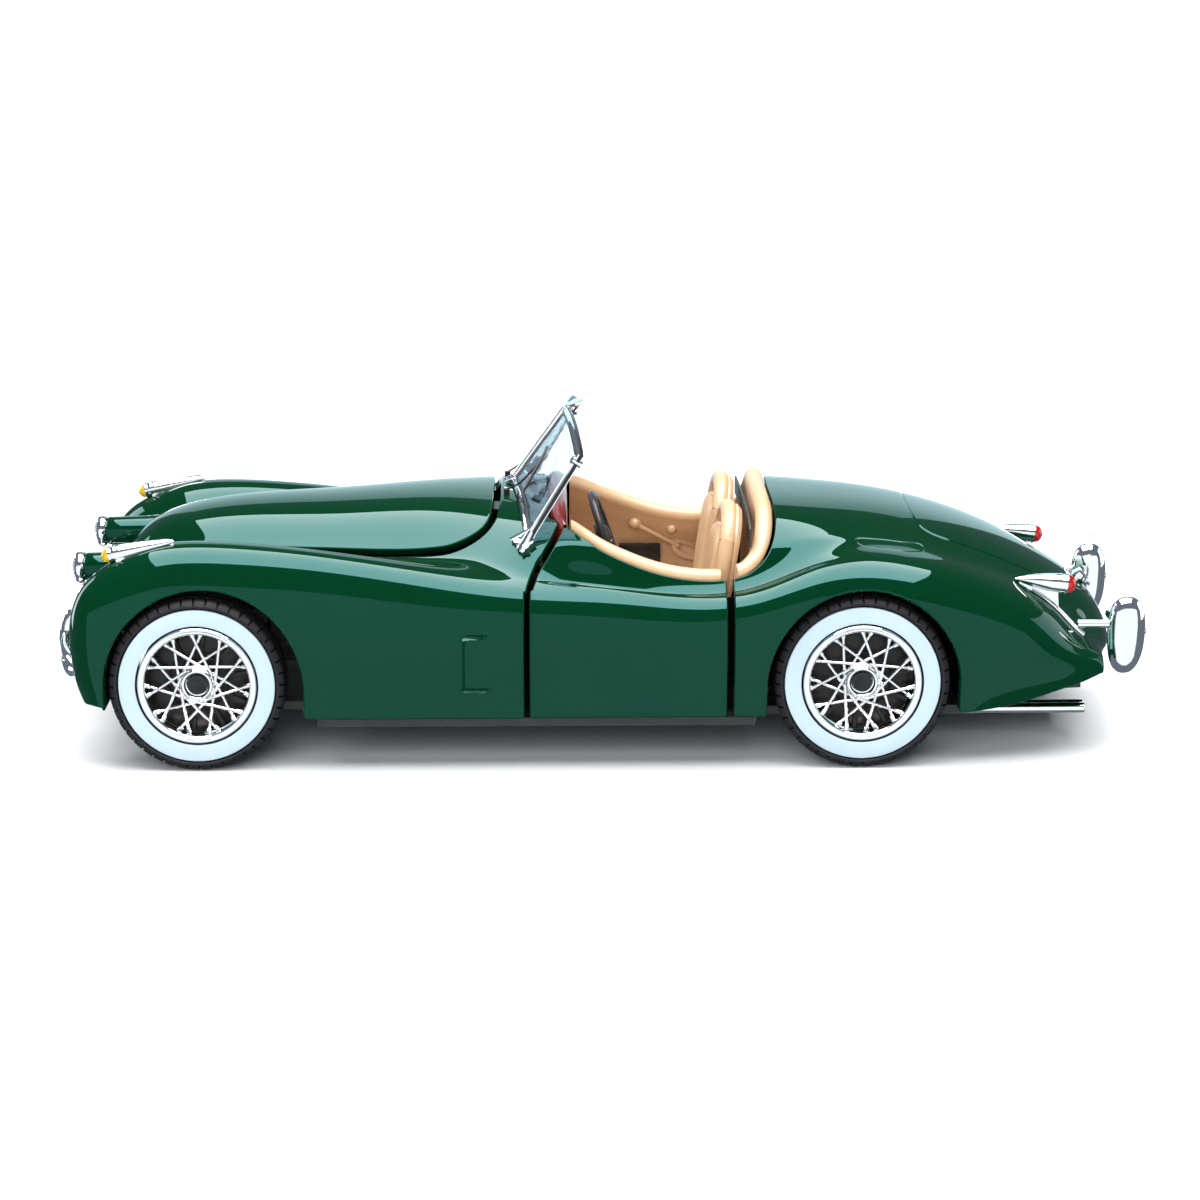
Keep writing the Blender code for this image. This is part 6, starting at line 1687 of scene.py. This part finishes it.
CARD_Z = 0.6
card("card_top", [(-0.33, 0.26, CARD_Z), (0.36, 0.26, CARD_Z), (0.36, -0.40, CARD_Z),
                  (-0.33, -0.46, CARD_Z)],
     (1.12, 1.0, 0.95), 12.0)
card("card_back", [(-0.42, 0.95, -0.3), (0.38, 0.95, -0.3), (0.38, 0.95, 0.70), (-0.42, 0.95, 0.70)],
     (0.66, 0.93, 1.0), 1.35)
card("card_front", [(-1.6, -1.0, -1.2), (1.6, -1.0, -1.2), (1.6, -1.0, 0.46), (-1.6, -1.0, 0.46)],
     (0.92, 0.98, 1.0), 1.15)
card("card_nose", [(-0.62, 0.45, -0.05), (-0.62, 0.22, -0.05), (-0.62, 0.22, 0.45),
                   (-0.62, 0.45, 0.45)], (0.95, 0.98, 1.0), 6.0)
card("card_tail", [(0.75, 0.5, -0.05), (0.75, -0.1, -0.05), (0.75, -0.1, 0.4), (0.75, 0.5, 0.4)],
     (0.95, 0.98, 1.0), 2.5)


def soft_light(name, place, aim, size, power, color=(1, 1, 1)):
    data = bpy.data.lights.new(name, "AREA")
    data.shape = "RECTANGLE"
    data.size, data.size_y = size
    data.energy = power
    data.color = color
    obj = bpy.data.objects.new(name, data)
    obj.location = place
    obj.rotation_mode = "QUATERNION"
    obj.rotation_quaternion = (Vector(aim) - Vector(place)).to_track_quat("-Z", "Y")
    bpy.context.scene.collection.objects.link(obj)
    obj.visible_glossy = False
    return obj


soft_light("light_top", (0.0, -0.05, 0.75), (0, 0, 0), (1.1, 0.9), 16)
soft_light("light_front", (-0.25, -1.1, 0.55), (0, 0, 0.02), (0.9, 0.6), 9)

# World strength: low where diffuse and glossy rays meet it, bright behind the car
DIFFUSE_LEVEL, GLOSSY_LEVEL, BACKDROP_LEVEL = 0.09, 0.20, 1.5
world = bpy.data.worlds.new("studio")
world.use_nodes = True
new_node, new_link = world.node_tree.nodes.new, world.node_tree.links.new
background = world.node_tree.nodes["Background"]
background.inputs["Color"].default_value = (0.70, 0.85, 1.0, 1)
ray = new_node("ShaderNodeLightPath")
level = new_node("ShaderNodeMapRange")
level.inputs["To Min"].default_value = DIFFUSE_LEVEL
level.inputs["To Max"].default_value = GLOSSY_LEVEL
seen = new_node("ShaderNodeMath")
seen.operation = "MAXIMUM"
bright = new_node("ShaderNodeMath")
bright.operation = "MULTIPLY_ADD"
bright.inputs[1].default_value = BACKDROP_LEVEL
for output, target in ((ray.outputs["Is Camera Ray"], seen.inputs[0]),
                       (ray.outputs["Is Transmission Ray"], seen.inputs[1]),
                       (ray.outputs["Is Glossy Ray"], level.inputs["Value"]),
                       (seen.outputs["Value"], bright.inputs[0]),
                       (level.outputs["Result"], bright.inputs[2]),
                       (bright.outputs["Value"], background.inputs["Strength"])):
    new_link(output, target)
bpy.context.scene.world = world

FOCAL_MM, SENSOR_MM = 96.816, 36
camera = bpy.data.objects.new("camera", bpy.data.cameras.new("camera"))
camera.data.lens = FOCAL_MM
camera.data.sensor_width = SENSOR_MM
camera.data.clip_start = 0.05
PITCH, YAW = math.radians(13.98), math.radians(0.942)
heading = Vector((math.sin(YAW) * math.cos(PITCH), math.cos(YAW) * math.cos(PITCH),
                  -math.sin(PITCH)))
camera.location = (-0.00848, -0.5352, 0.15415)
camera.rotation_mode = "QUATERNION"
camera.rotation_quaternion = heading.to_track_quat("-Z", "Y")
bpy.context.scene.collection.objects.link(camera)
bpy.context.scene.camera = camera
bpy.context.scene.view_settings.view_transform = "Standard"
